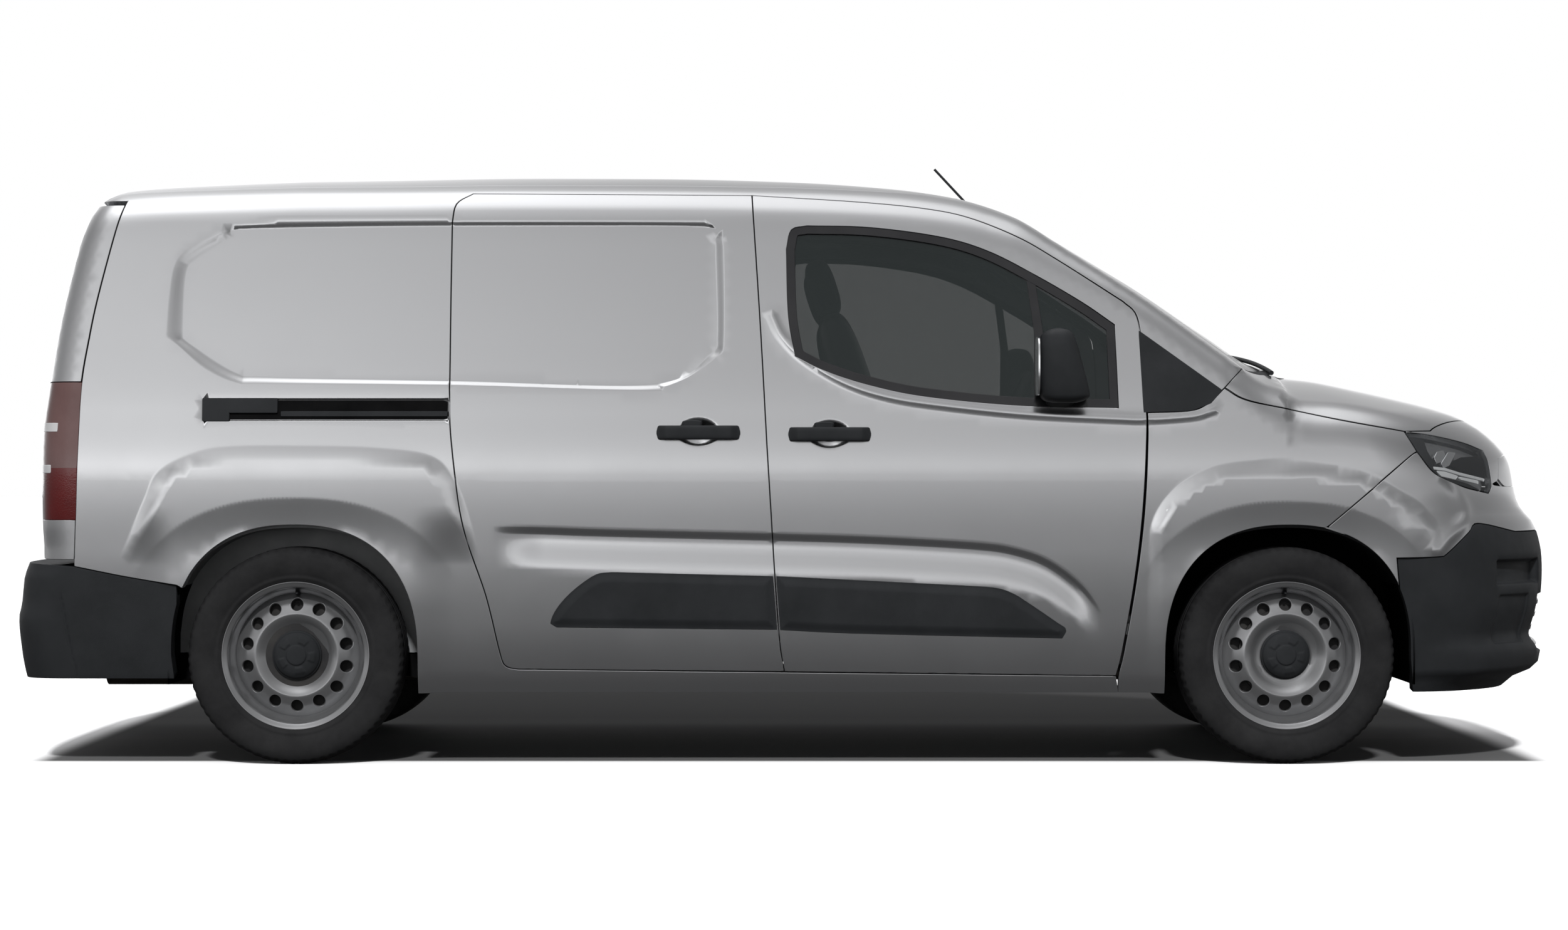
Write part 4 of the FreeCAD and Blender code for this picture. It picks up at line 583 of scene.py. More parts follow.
def shade_ramp(tree, value, stops):
    """A colour ramp, whose stops are colours or single greys."""
    made = tree.nodes.new("ShaderNodeValToRGB")
    spots = made.color_ramp.elements
    while len(spots) < len(stops):
        spots.new(0.5)
    for spot, (place, colour) in zip(spots, stops):
        if isinstance(colour, float):
            colour = (colour, colour, colour * 1.01)
        spot.position = place
        spot.color = (*colour, 1)
    tree.links.new(value, made.inputs["Fac"])
    return made.outputs["Color"]


class Finish:
    """A material with one shader and helpers that feed its sockets."""

    def __init__(self, name, **values):
        self.material = bpy.data.materials.new(name)
        self.material.use_nodes = True
        self.tree = self.material.node_tree
        self.shader = self.tree.nodes["Principled BSDF"]
        for key, value in values.items():
            self.shader.inputs[key.replace("_", " ")].default_value = value
        self.place = self.node("ShaderNodeTexCoord").outputs["Object"]

    def node(self, kind, **values):
        made = self.tree.nodes.new(kind)
        for key, value in values.items():
            setattr(made, key, value)
        return made

    def link(self, start, end):
        self.tree.links.new(start, end)

    def noise(self, scale, detail, rough=0.5):
        made = self.node("ShaderNodeTexNoise")
        made.inputs["Scale"].default_value = scale
        made.inputs["Detail"].default_value = detail
        made.inputs["Roughness"].default_value = rough
        self.link(self.place, made.inputs["Vector"])
        return made.outputs["Fac"]

    def bump(self, height, strength, size=0.001):
        made = self.node("ShaderNodeBump")
        made.inputs["Strength"].default_value = strength
        made.inputs["Distance"].default_value = size
        self.link(height, made.inputs["Height"])
        self.link(made.outputs["Normal"], self.shader.inputs["Normal"])

    def colour(self, value, dark, light):
        self.link(shade_ramp(self.tree, value, [(0.3, dark), (0.7, light)]), self.shader.inputs["Base Color"])

    def rough(self, value, low, high):
        made = self.node("ShaderNodeMapRange")
        made.inputs["To Min"].default_value = low
        made.inputs["To Max"].default_value = high
        self.link(value, made.inputs["Value"])
        self.link(made.outputs["Result"], self.shader.inputs["Roughness"])


def paint_finish():
    """Silver metallic paint: fine bright flakes under a clear coat."""
    made = Finish("silver_paint", Metallic=1.0, Coat_Weight=1.0, Coat_Roughness=0.03, Specular_IOR_Level=0.5)
    made.colour(made.noise(2600, 2), (0.56, 0.565, 0.575), (0.68, 0.685, 0.695))
    made.rough(made.noise(5.0, 5), 0.20, 0.26)
    return made.material


def plain_finish(name, dark, light, rough, grain, strength, **values):
    """A finish whose colour and roughness wander a little over a fine grain."""
    made = Finish(name, **values)
    made.colour(made.noise(7, 6, 0.6), dark, light)
    made.rough(made.noise(23, 5), *rough)
    made.bump(made.noise(grain, 3), strength)
    return made.material


def glass_finish(name, tint, opacity):
    made = Finish(name, Roughness=0.03, Alpha=opacity)
    made.colour(made.noise(3, 2), tint, tuple(c * 1.15 for c in tint))
    return made.material


def rubber_finish(name, dark, light):
    made = Finish(name, Specular_IOR_Level=0.35)
    made.colour(made.noise(9, 6, 0.65), dark, light)
    made.rough(made.noise(60, 4), 0.72, 0.88)
    made.bump(made.noise(700, 4), 0.25, 0.0006)
    return made.material


def cloth_finish(name, dark, light):
    """Woven cloth: two crossed fine waves over slow colour wander."""
    made = Finish(name, Sheen_Weight=0.35, Sheen_Roughness=0.5)
    waves = []
    for direction in ("X", "Z"):
        wave = made.node("ShaderNodeTexWave", bands_direction=direction)
        wave.inputs["Scale"].default_value = 160
        wave.inputs["Distortion"].default_value = 0.6
        made.link(made.place, wave.inputs["Vector"])
        waves.append(wave.outputs["Fac"])
    weave = shade_math(made.tree, "MULTIPLY", *waves)
    made.colour(made.noise(40, 5), dark, light)
    made.rough(weave, 0.82, 0.95)
    made.bump(weave, 0.5, 0.0008)
    return made.material


PAINT = paint_finish()
TRIM = plain_finish("dark_trim", (0.010, 0.011, 0.012), (0.015, 0.016, 0.0175), (0.52, 0.64), 900, 0.35,
                    Specular_IOR_Level=0.32)
GLOSS = plain_finish("gloss_black", (0.008, 0.008, 0.009), (0.013, 0.013, 0.014), (0.10, 0.16), 500, 0.02)
# Near-black with almost no gloss: partly the real black of liners, rail and lamp parts, partly painted shade
# in the hollows it fills
BLACK_AND_PAINTED_SHADE = plain_finish("deep_shadow_black", (0.0025, 0.0025, 0.0027), (0.005, 0.005, 0.0052), (0.8, 0.95),
                    300, 0.3, Specular_IOR_Level=0.05)
TYRE = rubber_finish("tyre_rubber", (0.008, 0.008, 0.0085), (0.016, 0.016, 0.0165))
GLASS = glass_finish("window_glass", (0.012, 0.016, 0.016), 0.55)
SCREEN = glass_finish("screen_glass", (0.012, 0.017, 0.016), 0.42)
LENS = glass_finish("lamp_lens", (0.10, 0.105, 0.11), 0.20)
CLEAR = glass_finish("clear_lens", (0.75, 0.77, 0.78), 0.45)
INNER_PAINT = plain_finish("inner_paint", (0.20, 0.205, 0.21), (0.26, 0.265, 0.27), (0.45, 0.6), 40, 0.05,
                           Metallic=0.2)
CHASSIS = plain_finish("chassis_coat", (0.012, 0.012, 0.013), (0.028, 0.027, 0.026), (0.6, 0.85), 120, 0.4)
ENGINE = plain_finish("engine_cast", (0.09, 0.09, 0.09), (0.17, 0.17, 0.165), (0.45, 0.6), 260, 0.6,
                      Metallic=0.6)
STEEL = plain_finish("pipe_steel", (0.10, 0.085, 0.07), (0.24, 0.22, 0.20), (0.35, 0.6), 90, 0.3,
                     Metallic=0.9)
WHEEL = plain_finish("wheel_enamel", (0.33, 0.333, 0.34), (0.39, 0.393, 0.40), (0.26, 0.34), 1400, 0.06,
                     Metallic=0.9, Coat_Weight=0.3)
CABIN = plain_finish("cabin_plastic", (0.018, 0.018, 0.020), (0.028, 0.028, 0.030), (0.6, 0.75), 1100, 0.5)
CLOTH = cloth_finish("seat_cloth", (0.018, 0.019, 0.021), (0.034, 0.035, 0.038))
RED = plain_finish("tail_red", (0.045, 0.003, 0.003), (0.070, 0.005, 0.005), (0.07, 0.12), 220, 0.15)
SMOKE = plain_finish("tail_smoke", (0.070, 0.036, 0.034), (0.090, 0.050, 0.048), (0.07, 0.12), 220, 0.15)
BOWL = plain_finish("lamp_bowl", (0.16, 0.163, 0.168), (0.24, 0.243, 0.248), (0.22, 0.30), 90, 0.03,
                    Metallic=0.8)
CHROME = plain_finish("lamp_mirror", (0.62, 0.63, 0.64), (0.8, 0.81, 0.82), (0.08, 0.16), 90, 0.03,
                      Metallic=1.0)


# Outlines in side view shares, as the real shut lines run
B_GAP = [(0.493, 0.155), (0.487, 0.229), (0.477, 0.49), (0.469, 0.725), (0.46, 0.953)]
SLIDE_REAR = [(0.225, 0.159), (0.213, 0.164), (0.207, 0.185), (0.193, 0.281), (0.17, 0.399), (0.158, 0.542),
              (0.156, 0.625)]
SLIDE_CORNER = [(0.156, 0.905), (0.16, 0.938), (0.176, 0.956)]
DOOR_FRONT = [(0.827, 0.148), (0.833, 0.19), (0.845, 0.307), (0.853, 0.42), (0.857, 0.54), (0.857, 0.6),
              (0.854, 0.7)]
DOOR_CORNER = [(0.854, 0.7), (0.848, 0.75), (0.835, 0.772)]
DOOR_TOP = [(0.835, 0.772), (0.77, 0.842), (0.731, 0.88), (0.683, 0.913), (0.64, 0.929), (0.572, 0.941),
            (0.46, 0.953)]
REAR_GAP = [(-0.744, 0.33), (-0.738, 0.412), (-0.731, 0.529), (-0.722, 0.633), (-0.7, 0.71), (-0.675, 0.778),
            (-0.626, 0.884), (-0.594, 0.944)]
WINDOW = [[(0.504, 0.68), (0.497, 0.75), (0.495, 0.86)], [(0.495, 0.86), (0.5, 0.893), (0.516, 0.9)],
          [(0.516, 0.9), (0.58, 0.897), (0.651, 0.881), (0.699, 0.857), (0.746, 0.817), (0.793, 0.771),
           (0.826, 0.733)], [(0.826, 0.733), (0.829, 0.594)],
          [(0.829, 0.594), (0.729, 0.598), (0.635, 0.613), (0.579, 0.632), (0.532, 0.657), (0.504, 0.68)]]
WING_REAR = [(0.8290, 0.119), (0.8292, 0.148), (0.8349, 0.19), (0.8468, 0.307), (0.8548, 0.42),
             (0.8583, 0.54), (0.858, 0.586)]
PILLAR_FOOT = [(0.936, 0.627), (0.918, 0.6), (0.9, 0.589), (0.858, 0.586)]
BONNET_LINE = [(0.936, 0.627), (0.958, 0.607), (1.016, 0.591), (1.2, 0.572), (1.398, 0.555)]
WING_FRONT = [(1.398, 0.554), (1.437, 0.521)]
NOSE_SEAM = [(1.437, 0.521), (1.388, 0.504), (1.127, 0.395)]
LAMP_TOP = [(1.4, 0.5535), (1.49, 0.549), (1.62, 0.5365), (1.705, 0.523)]
LAMP_END = [(1.705, 0.523), (1.723, 0.503), (1.733, 0.464), (1.717, 0.451)]
LAMP_FOOT = [(1.717, 0.451), (1.618, 0.461), (1.539, 0.474), (1.487, 0.49), (1.437, 0.521)]
BUMPER_TOP = [(1.364, 0.344), (1.513, 0.346), (1.54, 0.352), (1.618, 0.386), (1.657, 0.401), (1.815, 0.386)]
REAR_SEAM = [(-0.395, 0.299), (-0.56, 0.312), (-0.744, 0.33)]
BONNET_CORNER = (1.495, 0.5563)
SILL_START = 0.8305

# Turns in degrees where panels meet round the arches, and places of the roof's edges
WING_TURN = 66.5
BUMPER_TURN = 27
REAR_TURN = 158
LIP = 1.699
HEADER_END = 0.63
COWL_HALF = 0.8
CORNER = (-1.95, -0.60)


def side_flat(loop):
    return side_wrap(on_side(loop))


def door_loop():
    return loop_of(view_line(B_GAP), view_line(DOOR_TOP)[::-1], view_line(DOOR_CORNER)[::-1],
                   view_line(DOOR_FRONT)[::-1], view_line([DOOR_FRONT[0], B_GAP[0]]))


def slide_loop():
    return loop_of(view_line([B_GAP[0], SLIDE_REAR[0]]), view_line(SLIDE_REAR),
                   view_line([SLIDE_REAR[-1], SLIDE_CORNER[0]]), view_line(SLIDE_CORNER),
                   view_line([SLIDE_CORNER[-1], B_GAP[-1]]), view_line(B_GAP)[::-1])


def window_loop():
    return side_flat(loop_of(*[view_line(line) for line in WINDOW]))


def wing_loop():
    end = FRONT - ARCH_REACH
    return loop_of(view_line(WING_REAR), view_line(PILLAR_FOOT)[::-1], view_line(BONNET_LINE),
                   view_line(WING_FRONT), view_line(NOSE_SEAM), arch_line(FRONT, WING_TURN, 180),
                   even([(end, WHEEL_RADIUS), (end, SILL)]),
                   even([(end, SILL), (along(WING_REAR[0][0]), SILL)]))


def bowed(place, fall, half, width, count=60):
    """A line across the van in top view that falls back towards its ends."""
    ys = np.linspace(-width, width, count)
    return columns(place - fall * (ys / half) ** 2, ys)


def header_line(width):
    return bowed(0.700, 0.070, ROOF_SEAM, width)


def cowl_line():
    return bowed(1.582, 0.225, COWL_HALF, COWL_HALF)


def screen_foot():
    return bowed(1.512, 0.140, 0.77, 0.77)


def roof_tail(ys):
    """The roof's rear edge, on the body."""
    return cast(columns(-1.8, ys, LIP), BACKWARD)


def corner_arc(start, end, count=24):
    """Points round the rear corner at the roof's lip, from a place on the side to one on the tail."""
    ends = [np.arctan2(spot[1] - CORNER[1], spot[0] - CORNER[0]) % (2 * np.pi) for spot in (start, end)]
    turns = np.linspace(*ends, count)
    return cast(columns(*CORNER, np.full(count, LIP)), columns(np.cos(turns), np.sin(turns), 0))


def side_loop():
    """Quarter, sill, roof rail and windscreen pillar as one outline round both door openings."""
    end = REAR + ARCH_REACH
    low = [even([(along(SILL_START), SILL), (end, SILL)]), even([(end, SILL), (end, WHEEL_RADIUS)]),
           arch_line(REAR, 0, REAR_TURN), view_line(REAR_SEAM), view_line(REAR_GAP)]
    low = [on_side(line) for line in low]
    tail_end = roof_tail([-ROOF_SEAM])[0]
    seam = on_top(columns(np.linspace(tail_end[0], HEADER_END, 120), -ROOF_SEAM))
    header = on_top(header_line(ROOF_SEAM)[:5])
    pillar = on_top(even([(0.645, -0.61), (1.372, -0.77), (1.357, -0.80)], 0.02))
    high = [corner_arc(low[-1][-1], tail_end), seam, header, pillar]
    back = [view_line(PILLAR_FOOT), view_line([PILLAR_FOOT[-1], *DOOR_FRONT[-2:]]), view_line(DOOR_CORNER),
            view_line(DOOR_TOP), view_line([B_GAP[-1], SLIDE_CORNER[-1]]), view_line(SLIDE_CORNER)[::-1],
            view_line([SLIDE_CORNER[0], SLIDE_REAR[-1]]), view_line(SLIDE_REAR)[::-1],
            view_line([SLIDE_REAR[0], DOOR_FRONT[0]]), view_line([DOOR_FRONT[0], (SILL_START, 0.119)])]
    back = [on_side(line) for line in back]
    return loop_of(*[side_wrap(line) for line in low + high + back])


# Pressed detail of the sides, as how far the skin moves out at a place
RECESS_OUTER = [(-1.882, 1.281), (-1.876, 1.400), (-1.860, 1.507), (-1.808, 1.567), (-1.704, 1.615),
                (-1.586, 1.631), (-1.023, 1.639), (-0.309, 1.636), (-0.250, 1.627), (-0.214, 1.591),
                (-0.204, 1.519), (-0.204, 1.258), (-0.225, 1.222), (-0.307, 1.163), (-0.389, 1.128),
                (-0.447, 1.119), (-1.015, 1.135), (-1.574, 1.140), (-1.668, 1.144), (-1.763, 1.187),
                (-1.846, 1.258), (-1.882, 1.281)]
RECESS_INNER = [(-1.830, 1.281), (-1.826, 1.471), (-1.795, 1.519), (-1.679, 1.591), (-1.585, 1.613),
                (-0.309, 1.619), (-0.240, 1.585), (-0.233, 1.519), (-0.227, 1.281), (-0.248, 1.234),
                (-0.412, 1.144), (-1.015, 1.153), (-1.574, 1.165), (-1.668, 1.177), (-1.799, 1.258),
                (-1.830, 1.281)]
REAR_FLARE = [(-2.10, 0.52), (-2.02, 0.62), (-1.945, 0.788), (-1.898, 0.882), (-1.782, 0.940),
              (-1.665, 0.957), (-1.460, 0.958), (-1.243, 0.952), (-1.079, 0.928), (-1.008, 0.858),
              (-0.960, 0.740), (-0.925, 0.60), (-0.90, 0.45), (-0.88, 0.2)]
FRONT_FLARE = [(1.055, 0.2), (1.060, 0.62), (1.076, 0.741), (1.146, 0.835), (1.240, 0.889), (1.333, 0.910),
               (1.450, 0.915), (1.568, 0.905), (1.708, 0.882), (1.825, 0.823), (1.907, 0.764), (1.95, 0.66),
               (1.97, 0.2)]
SWAGE = [(-0.90, 0.716), (-0.751, 0.713), (-0.540, 0.706), (-0.060, 0.694), (0.250, 0.684), (0.561, 0.666),
         (0.678, 0.647), (0.771, 0.612), (0.865, 0.542), (0.93, 0.46)]
SHOULDER = [(-0.06, 1.345), (-0.03, 1.285), (0.04, 1.215), (0.16, 1.145), (0.29, 1.103), (0.45, 1.078),
            (0.70, 1.052), (0.97, 1.038), (1.06, 1.036), (1.20, 1.046), (1.262, 1.064)]
CUPS = ((-0.281, 0.997), (0.112, 0.990))
CUP_LENGTH = 0.068
CUP_HEIGHT = 0.046
ARCH_BANDS = {REAR: (0.53, 0.474), FRONT: (0.485, 0.464)}
RECESS_DEPTH = 0.0085
FLARE_OUT = 0.010
BAND_DEPTH = 0.08
SWAGE_DEPTH = 0.011
SHOULDER_OUT = 0.0045
CUP_DEPTH = 0.013
RAIL_DEPTH = 0.008

recess_outer = even(RECESS_OUTER, 0.02)[:-1]
recess_inner = even(RECESS_INNER, 0.02)[:-1]
rear_flare = even(REAR_FLARE, 0.006)
front_flare = even(FRONT_FLARE, 0.006)
swage_line = even(SWAGE, 0.02)
shoulder_line = even(SHOULDER, 0.01)


def rise(value, width):
    """A smooth step from zero to one over a width."""
    t = np.clip(value / width, 0, 1)
    return t * t * (3 - 2 * t)


def crest(away, width):
    """One on a line, and soft down to zero away from it."""
    return np.exp(-(away / width) ** 2)


def pockets(across, z, boxes):
    """How far the skin falls back in boxes with soft sides, each with its own depth."""
    total = np.zeros(len(z))
    for near, far, low, high, deep, soft in boxes:
        wide = rise(across - near, soft) * rise(far - across, soft)
        total -= deep * wide * rise(z - low, soft) * rise(high - z, soft)
    return total


def near_only(points, low, high, found, fill=0.0):
    """A field that is worked out only for points in a side view box."""
    x, z = points.T
    chosen = (x > low[0]) & (x < high[0]) & (z > low[1]) & (z < high[1])
    values = np.full(len(points), fill, float)
    if chosen.any():
        values[chosen] = found(points[chosen])
    return values


def recess_depth(points):
    outer = distance(points, recess_outer)
    inner = distance(points, recess_inner)
    share = np.where(inside(points, recess_outer), outer / np.clip(outer + inner, 1e-6, None), 0.0)
    return -RECESS_DEPTH * rise(np.where(inside(points, recess_inner), 1.0, share), 1)


def arch_band(points, axle):
    """How far the skin falls back below the line over a wheel arch."""
    reach, height = ARCH_BANDS[axle]
    flat = np.abs(points[:, 0] - axle) / reach
    tall = np.clip(points[:, 1] - WHEEL_RADIUS, 0, None) / height
    round_share = (flat ** ARCH_POWER + tall ** ARCH_POWER) ** (1 / ARCH_POWER)
    within = np.clip((1 - round_share) * height, 0, 0.085)
    return -BAND_DEPTH * within * within / (within + 0.004) * rise(points[:, 1] - 0.47, 0.34)


def flare_height(points, line, axle):
    outline = np.concatenate([line, [(line[-1][0], -1.0), (line[0][0], -1.0)]])
    deep = np.where(inside(points, outline), distance(points, line, False), 0.0)
    ends = rise(np.abs(points[:, 0] - axle) - 0.34, 0.14) * (1 - rise(points[:, 1] - 0.60, 0.17))
    return FLARE_OUT * rise(deep, 0.045) * (1 - ends) + arch_band(points, axle)


def rear_flare_height(points):
    return flare_height(points, rear_flare, REAR)


def front_flare_height(points):
    return flare_height(points, front_flare, FRONT)


def swage_height(points):
    x, z = points.T
    below = np.interp(x, swage_line[:, 0], swage_line[:, 1]) - z
    fade = rise(x + 0.90, 0.15) * rise(0.93 - x, 0.1)
    return -SWAGE_DEPTH * rise(below, 0.022) * (1 - rise(below - 0.03, 0.10)) * fade


def shoulder_height(points):
    return SHOULDER_OUT * crest(distance(points, shoulder_line, False), 0.013)


def cup_height(points):
    depth = np.zeros(len(points))
    for x, z in CUPS:
        apart = np.hypot((points[:, 0] - x) / CUP_LENGTH, (points[:, 1] - z) / CUP_HEIGHT)
        depth -= CUP_DEPTH * (1 - rise(apart - 0.35, 0.65))
    return depth


def rail_height(points):
    x, z = points.T
    band = rise(x + 1.768, 0.008) * rise(-1.026 - x, 0.004)
    tall = rise(z - 1.028, 0.006) * rise(1.098 - z, 0.006)
    return -RAIL_DEPTH * band * tall


SIDE_FEATURES = [((-1.95, 1.05), (-0.15, 1.70), recess_depth),
                 ((-2.15, 0.0), (-0.85, 1.0), rear_flare_height),
                 ((0.98, 0.0), (2.02, 1.0), front_flare_height),
                 ((-0.91, 0.3), (0.94, 0.80), swage_height),
                 ((-0.15, 0.98), (1.35, 1.42), shoulder_height),
                 ((-0.4, 0.9), (0.25, 1.1), cup_height),
                 ((-1.8, 1.0), (-0.98, 1.13), rail_height)]


def side_detail(spots):
    points = spots[:, [0, 2]]
    return sum(near_only(points, low, high, found) for low, high, found in SIDE_FEATURES)


def beside(line, offsets):
    """Rows of points along a line at several distances from it."""
    run = unit(np.gradient(line, axis=0))
    across = columns(-run[:, 1], run[:, 0])
    return np.concatenate([line + across * offset for offset in offsets])


def arch_rows(axle):
    """Rings of points over the band round a wheel arch."""
    reach, height = ARCH_BANDS[axle]
    shares = [1 - within / height for within in (-0.006, 0.0, 0.004, 0.010, 0.022, 0.042, 0.062)]
    return np.concatenate([arch_line(axle, 0, 180, reach * share, height * share) for share in shares])


def cup_points():
    across, up = CUP_LENGTH * np.cos(turns_of(28)), CUP_HEIGHT * np.sin(turns_of(28))
    shares = (0.0, 0.3, 0.5, 0.7, 0.85, 1.0, 1.12)
    return np.concatenate([columns(x + share * across, z + share * up) for x, z in CUPS for share in shares])


def between(outer, inner, shares):
    """Rows of points part of the way from one outline to the nearest places of another."""
    nearest = inner[np.argmin(np.linalg.norm(outer[:, None] - inner[None], axis=2), axis=1)]
    return np.concatenate([outer + (nearest - outer) * share for share in shares])


FLARE_ROWS = (-0.008, 0.0, 0.007, 0.014, 0.022, 0.030, 0.038, 0.046, 0.056)
SWAGE_ROWS = (0.008, 0.0, -0.008, -0.016, -0.024, -0.034, -0.05, -0.07, -0.09, -0.11)
SHOULDER_ROWS = (-0.024, -0.016, -0.008, 0, 0.008, 0.016, 0.024)
RAIL_LINES = [([(-1.765, 1.031), (-1.027, 1.031)], 0.02), ([(-1.765, 1.095), (-1.027, 1.095)], 0.02),
              ([(-1.764, 1.03), (-1.764, 1.096)], 0.01), ([(-1.028, 1.03), (-1.028, 1.096)], 0.01)]


def feature_points():
    outer, inner = even(RECESS_OUTER, 0.008)[:-1], even(RECESS_INNER, 0.004)[:-1]
    rows = [beside(outer, (-0.005, 0)), between(outer, inner, (0.2, 0.4, 0.6, 0.8, 1.0)),
            beside(even(RECESS_INNER, 0.010)[:-1], (0.007,)), beside(even(REAR_FLARE, 0.015), FLARE_ROWS),
            beside(even(FRONT_FLARE, 0.015), FLARE_ROWS), beside(swage_line, SWAGE_ROWS),
            beside(even(SHOULDER, 0.02), SHOULDER_ROWS), cup_points(), arch_rows(REAR), arch_rows(FRONT)]
    rows += [beside(even(line, step), (-0.004, 0, 0.004)) for line, step in RAIL_LINES]
    return np.concatenate(rows)


features = feature_points()


def side_pieces():
    pressed = {"detail": side_detail, "extra": features}
    both_sides("quarter_panel", cut(side_loop(), side_rays, step=0.03, **pressed), PAINT, "side")
    slide = cut(side_flat(slide_loop()), side_rays, step=0.03, **pressed)
    make_pair("slide_door_skins", slide, PAINT, ["sliding_doors"])
    hole = inset(window_loop(), -0.002)
    door = cut(side_flat(door_loop()), side_rays, holes=[hole], step=0.026, **pressed)
    both_sides("front_door_skin", door, PAINT, "front_door", DOORS)
    wing = cut(side_flat(wing_loop()), side_rays, depth=0.022, **pressed)
    make_pair("wing_skins", wing, PAINT, ["fenders"])


side_pieces()


BONNET_TIP = 2.150
BUMPER_FOOT = 0.205
NOSE_RIDGE = [(1.962, 0.872), (1.982, 0.849), (2.027, 0.775), (2.022, 0.731), (1.968, 0.683), (1.938, 0.645)]
RIDGE_ROWS = (-0.04, -0.028, -0.016, -0.007, 0.0, 0.007, 0.016, 0.028, 0.04)
BUMPER_POCKETS = [(0.500, 0.772, 0.530, 0.614, 0.026, 0.014), (0.595, 0.760, 0.352, 0.508, 0.008, 0.012),
                  (-1.0, 0.500, 0.318, 0.500, 0.022, 0.012)]

nose_ridge = even(NOSE_RIDGE, 0.015)


def mirrored(half):
    """A closed outline from its right half."""
    return loop_of(half, (half * (-1, 1))[::-1])


def bonnet_front(end, count):
    """The bonnet's front edge on the body, from its right corner to the middle or the other corner."""
    corner = on_side(np.array([[along(BONNET_CORNER[0]), BONNET_CORNER[1] * HEIGHT]]))[0]
    ys = np.linspace(corner[1], end * corner[1], count)
    return on_top(columns(BONNET_TIP - (BONNET_TIP - corner[0]) * np.abs(ys / corner[1]) ** 2.2, ys))


def bonnet_loop():
    side = np.concatenate([view_line(BONNET_LINE), view_line([BONNET_LINE[-1], BONNET_CORNER])])
    side = bonnet_wrap(on_side(side))
    side = side[np.concatenate([[True], np.linalg.norm(np.diff(side, axis=0), axis=1) > 0.002])]
    front = bonnet_wrap(bonnet_front(-1, 90))
    rear = bonnet_wrap(on_top(cowl_line()))[::-1]
    return loop_of(side, front[1:-1], side[::-1] * (1, -1), rear)


def nose_line(ys, heights):
    """Points on the nose, straight ahead of places across the van and heights."""
    return cast(columns(NOSE_MIDDLE, ys, heights), FORWARD)


def bumper_seam():
    """Top edge of the dark bumper from the arch to the middle."""
    outer = on_side(view_line(BUMPER_TOP))
    ys = np.linspace(outer[-1][1], 0, 40)[1:]
    return np.concatenate([outer, nose_line(ys, BUMPER_TOP[-1][1] * HEIGHT)])


def nose_loop():
    flank = [view_line([(1.403, 0.5555), BONNET_CORNER])[::-1], view_line(LAMP_TOP), view_line(LAMP_END),
             view_line(LAMP_FOOT), view_line(NOSE_SEAM), arch_line(FRONT, WING_TURN, BUMPER_TURN)[1:]]
    flank = nose_wrap(on_side(np.concatenate(flank)))
    top = nose_wrap(bonnet_front(0, 46))
    return mirrored(np.concatenate([top[::-1], flank, nose_wrap(bumper_seam())]))


def lamp_loop():
    lines = [view_line(line) for line in (LAMP_TOP, LAMP_END, LAMP_FOOT)]
    return loop_of(nose_wrap(on_side(np.concatenate([*lines, view_line(WING_FRONT)[::-1]]))))


def front_loop(lines):
    """A closed outline drawn in front view shares, in the nose's flat domain."""
    lines = [even([(y * HALF, z * HEIGHT) for y, z in line]) for line in lines]
    return loop_of(*[nose_wrap(nose_line(*line.T)) for line in lines])


def grille_loop():
    return front_loop([[(-0.66, 0.475), (-0.6, 0.462), (0.6, 0.462), (0.66, 0.475)],
                       [(0.66, 0.475), (0.62, 0.51)],
                       [(0.62, 0.51), (0.4, 0.518), (-0.4, 0.518), (-0.62, 0.51)],
                       [(-0.62, 0.51), (-0.66, 0.475)]])


def grille_middle():
    return front_loop([[(-0.46, 0.462), (0.46, 0.462)], [(0.46, 0.462), (0.46, 0.5158)],
                       [(0.46, 0.5158), (0.4, 0.518), (-0.4, 0.518), (-0.46, 0.5158)],
                       [(-0.46, 0.5158), (-0.46, 0.462)]])


def grille_end():
    return front_loop([[(0.46, 0.462), (0.6, 0.462), (0.66, 0.475)], [(0.66, 0.475), (0.62, 0.51)],
                       [(0.62, 0.51), (0.46, 0.5158)], [(0.46, 0.5158), (0.46, 0.462)]])


def bumper_loop():
    flank = [arch_line(FRONT, BUMPER_TURN, 0), even([(1.852, WHEEL_RADIUS), (1.864, SILL)])[1:]]
    flank = nose_wrap(on_side(np.concatenate(flank)))
    low = columns(np.linspace(flank[-1][0], 0, 60), np.linspace(flank[-1][1], BUMPER_FOOT, 60))
    return mirrored(np.concatenate([nose_wrap(bumper_seam())[::-1], flank, low[1:]]))


def bumper_detail(spots):
    """Fog pockets, upright vents and the low air intake of the front bumper."""
    return pockets(np.abs(spots[:, 1]), spots[:, 2], BUMPER_POCKETS) * (spots[:, 0] > 1.9)


def bumper_features():
    rows = []
    for near, far, low, high, _, soft in BUMPER_POCKETS:
        for edge in (0.0, soft / 2, soft):
            ys = np.linspace(max(near, -0.52), far, 60)
            rows += [columns(ys, z) for z in (low + edge, high - edge)]
            zs = np.linspace(low, high, 26)
            rows += [columns(y, zs) for y in (near + edge, far - edge) if abs(y) < 0.9]
    spots = np.unique(np.round(nose_wrap(nose_line(*np.concatenate(rows).T)), 4), axis=0)
    return np.concatenate([spots, spots[np.abs(spots[:, 0]) > 0.001] * (-1, 1)])


def ridge_height(points):
    return 0.007 * crest(distance(points, nose_ridge, False), 0.022)


def nose_detail(spots):
    """The wing's flare as it runs out on the nose, and the ridge from the lamp to the bumper."""
    points = spots[:, [0, 2]]
    total = near_only(points, (1.55, 0.0), (2.02, 1.0), front_flare_height)
    total += near_only(points, (1.85, 0.58), (2.15, 0.95), ridge_height)
    return total * rise(np.abs(spots[:, 1]) - 0.52, 0.1)


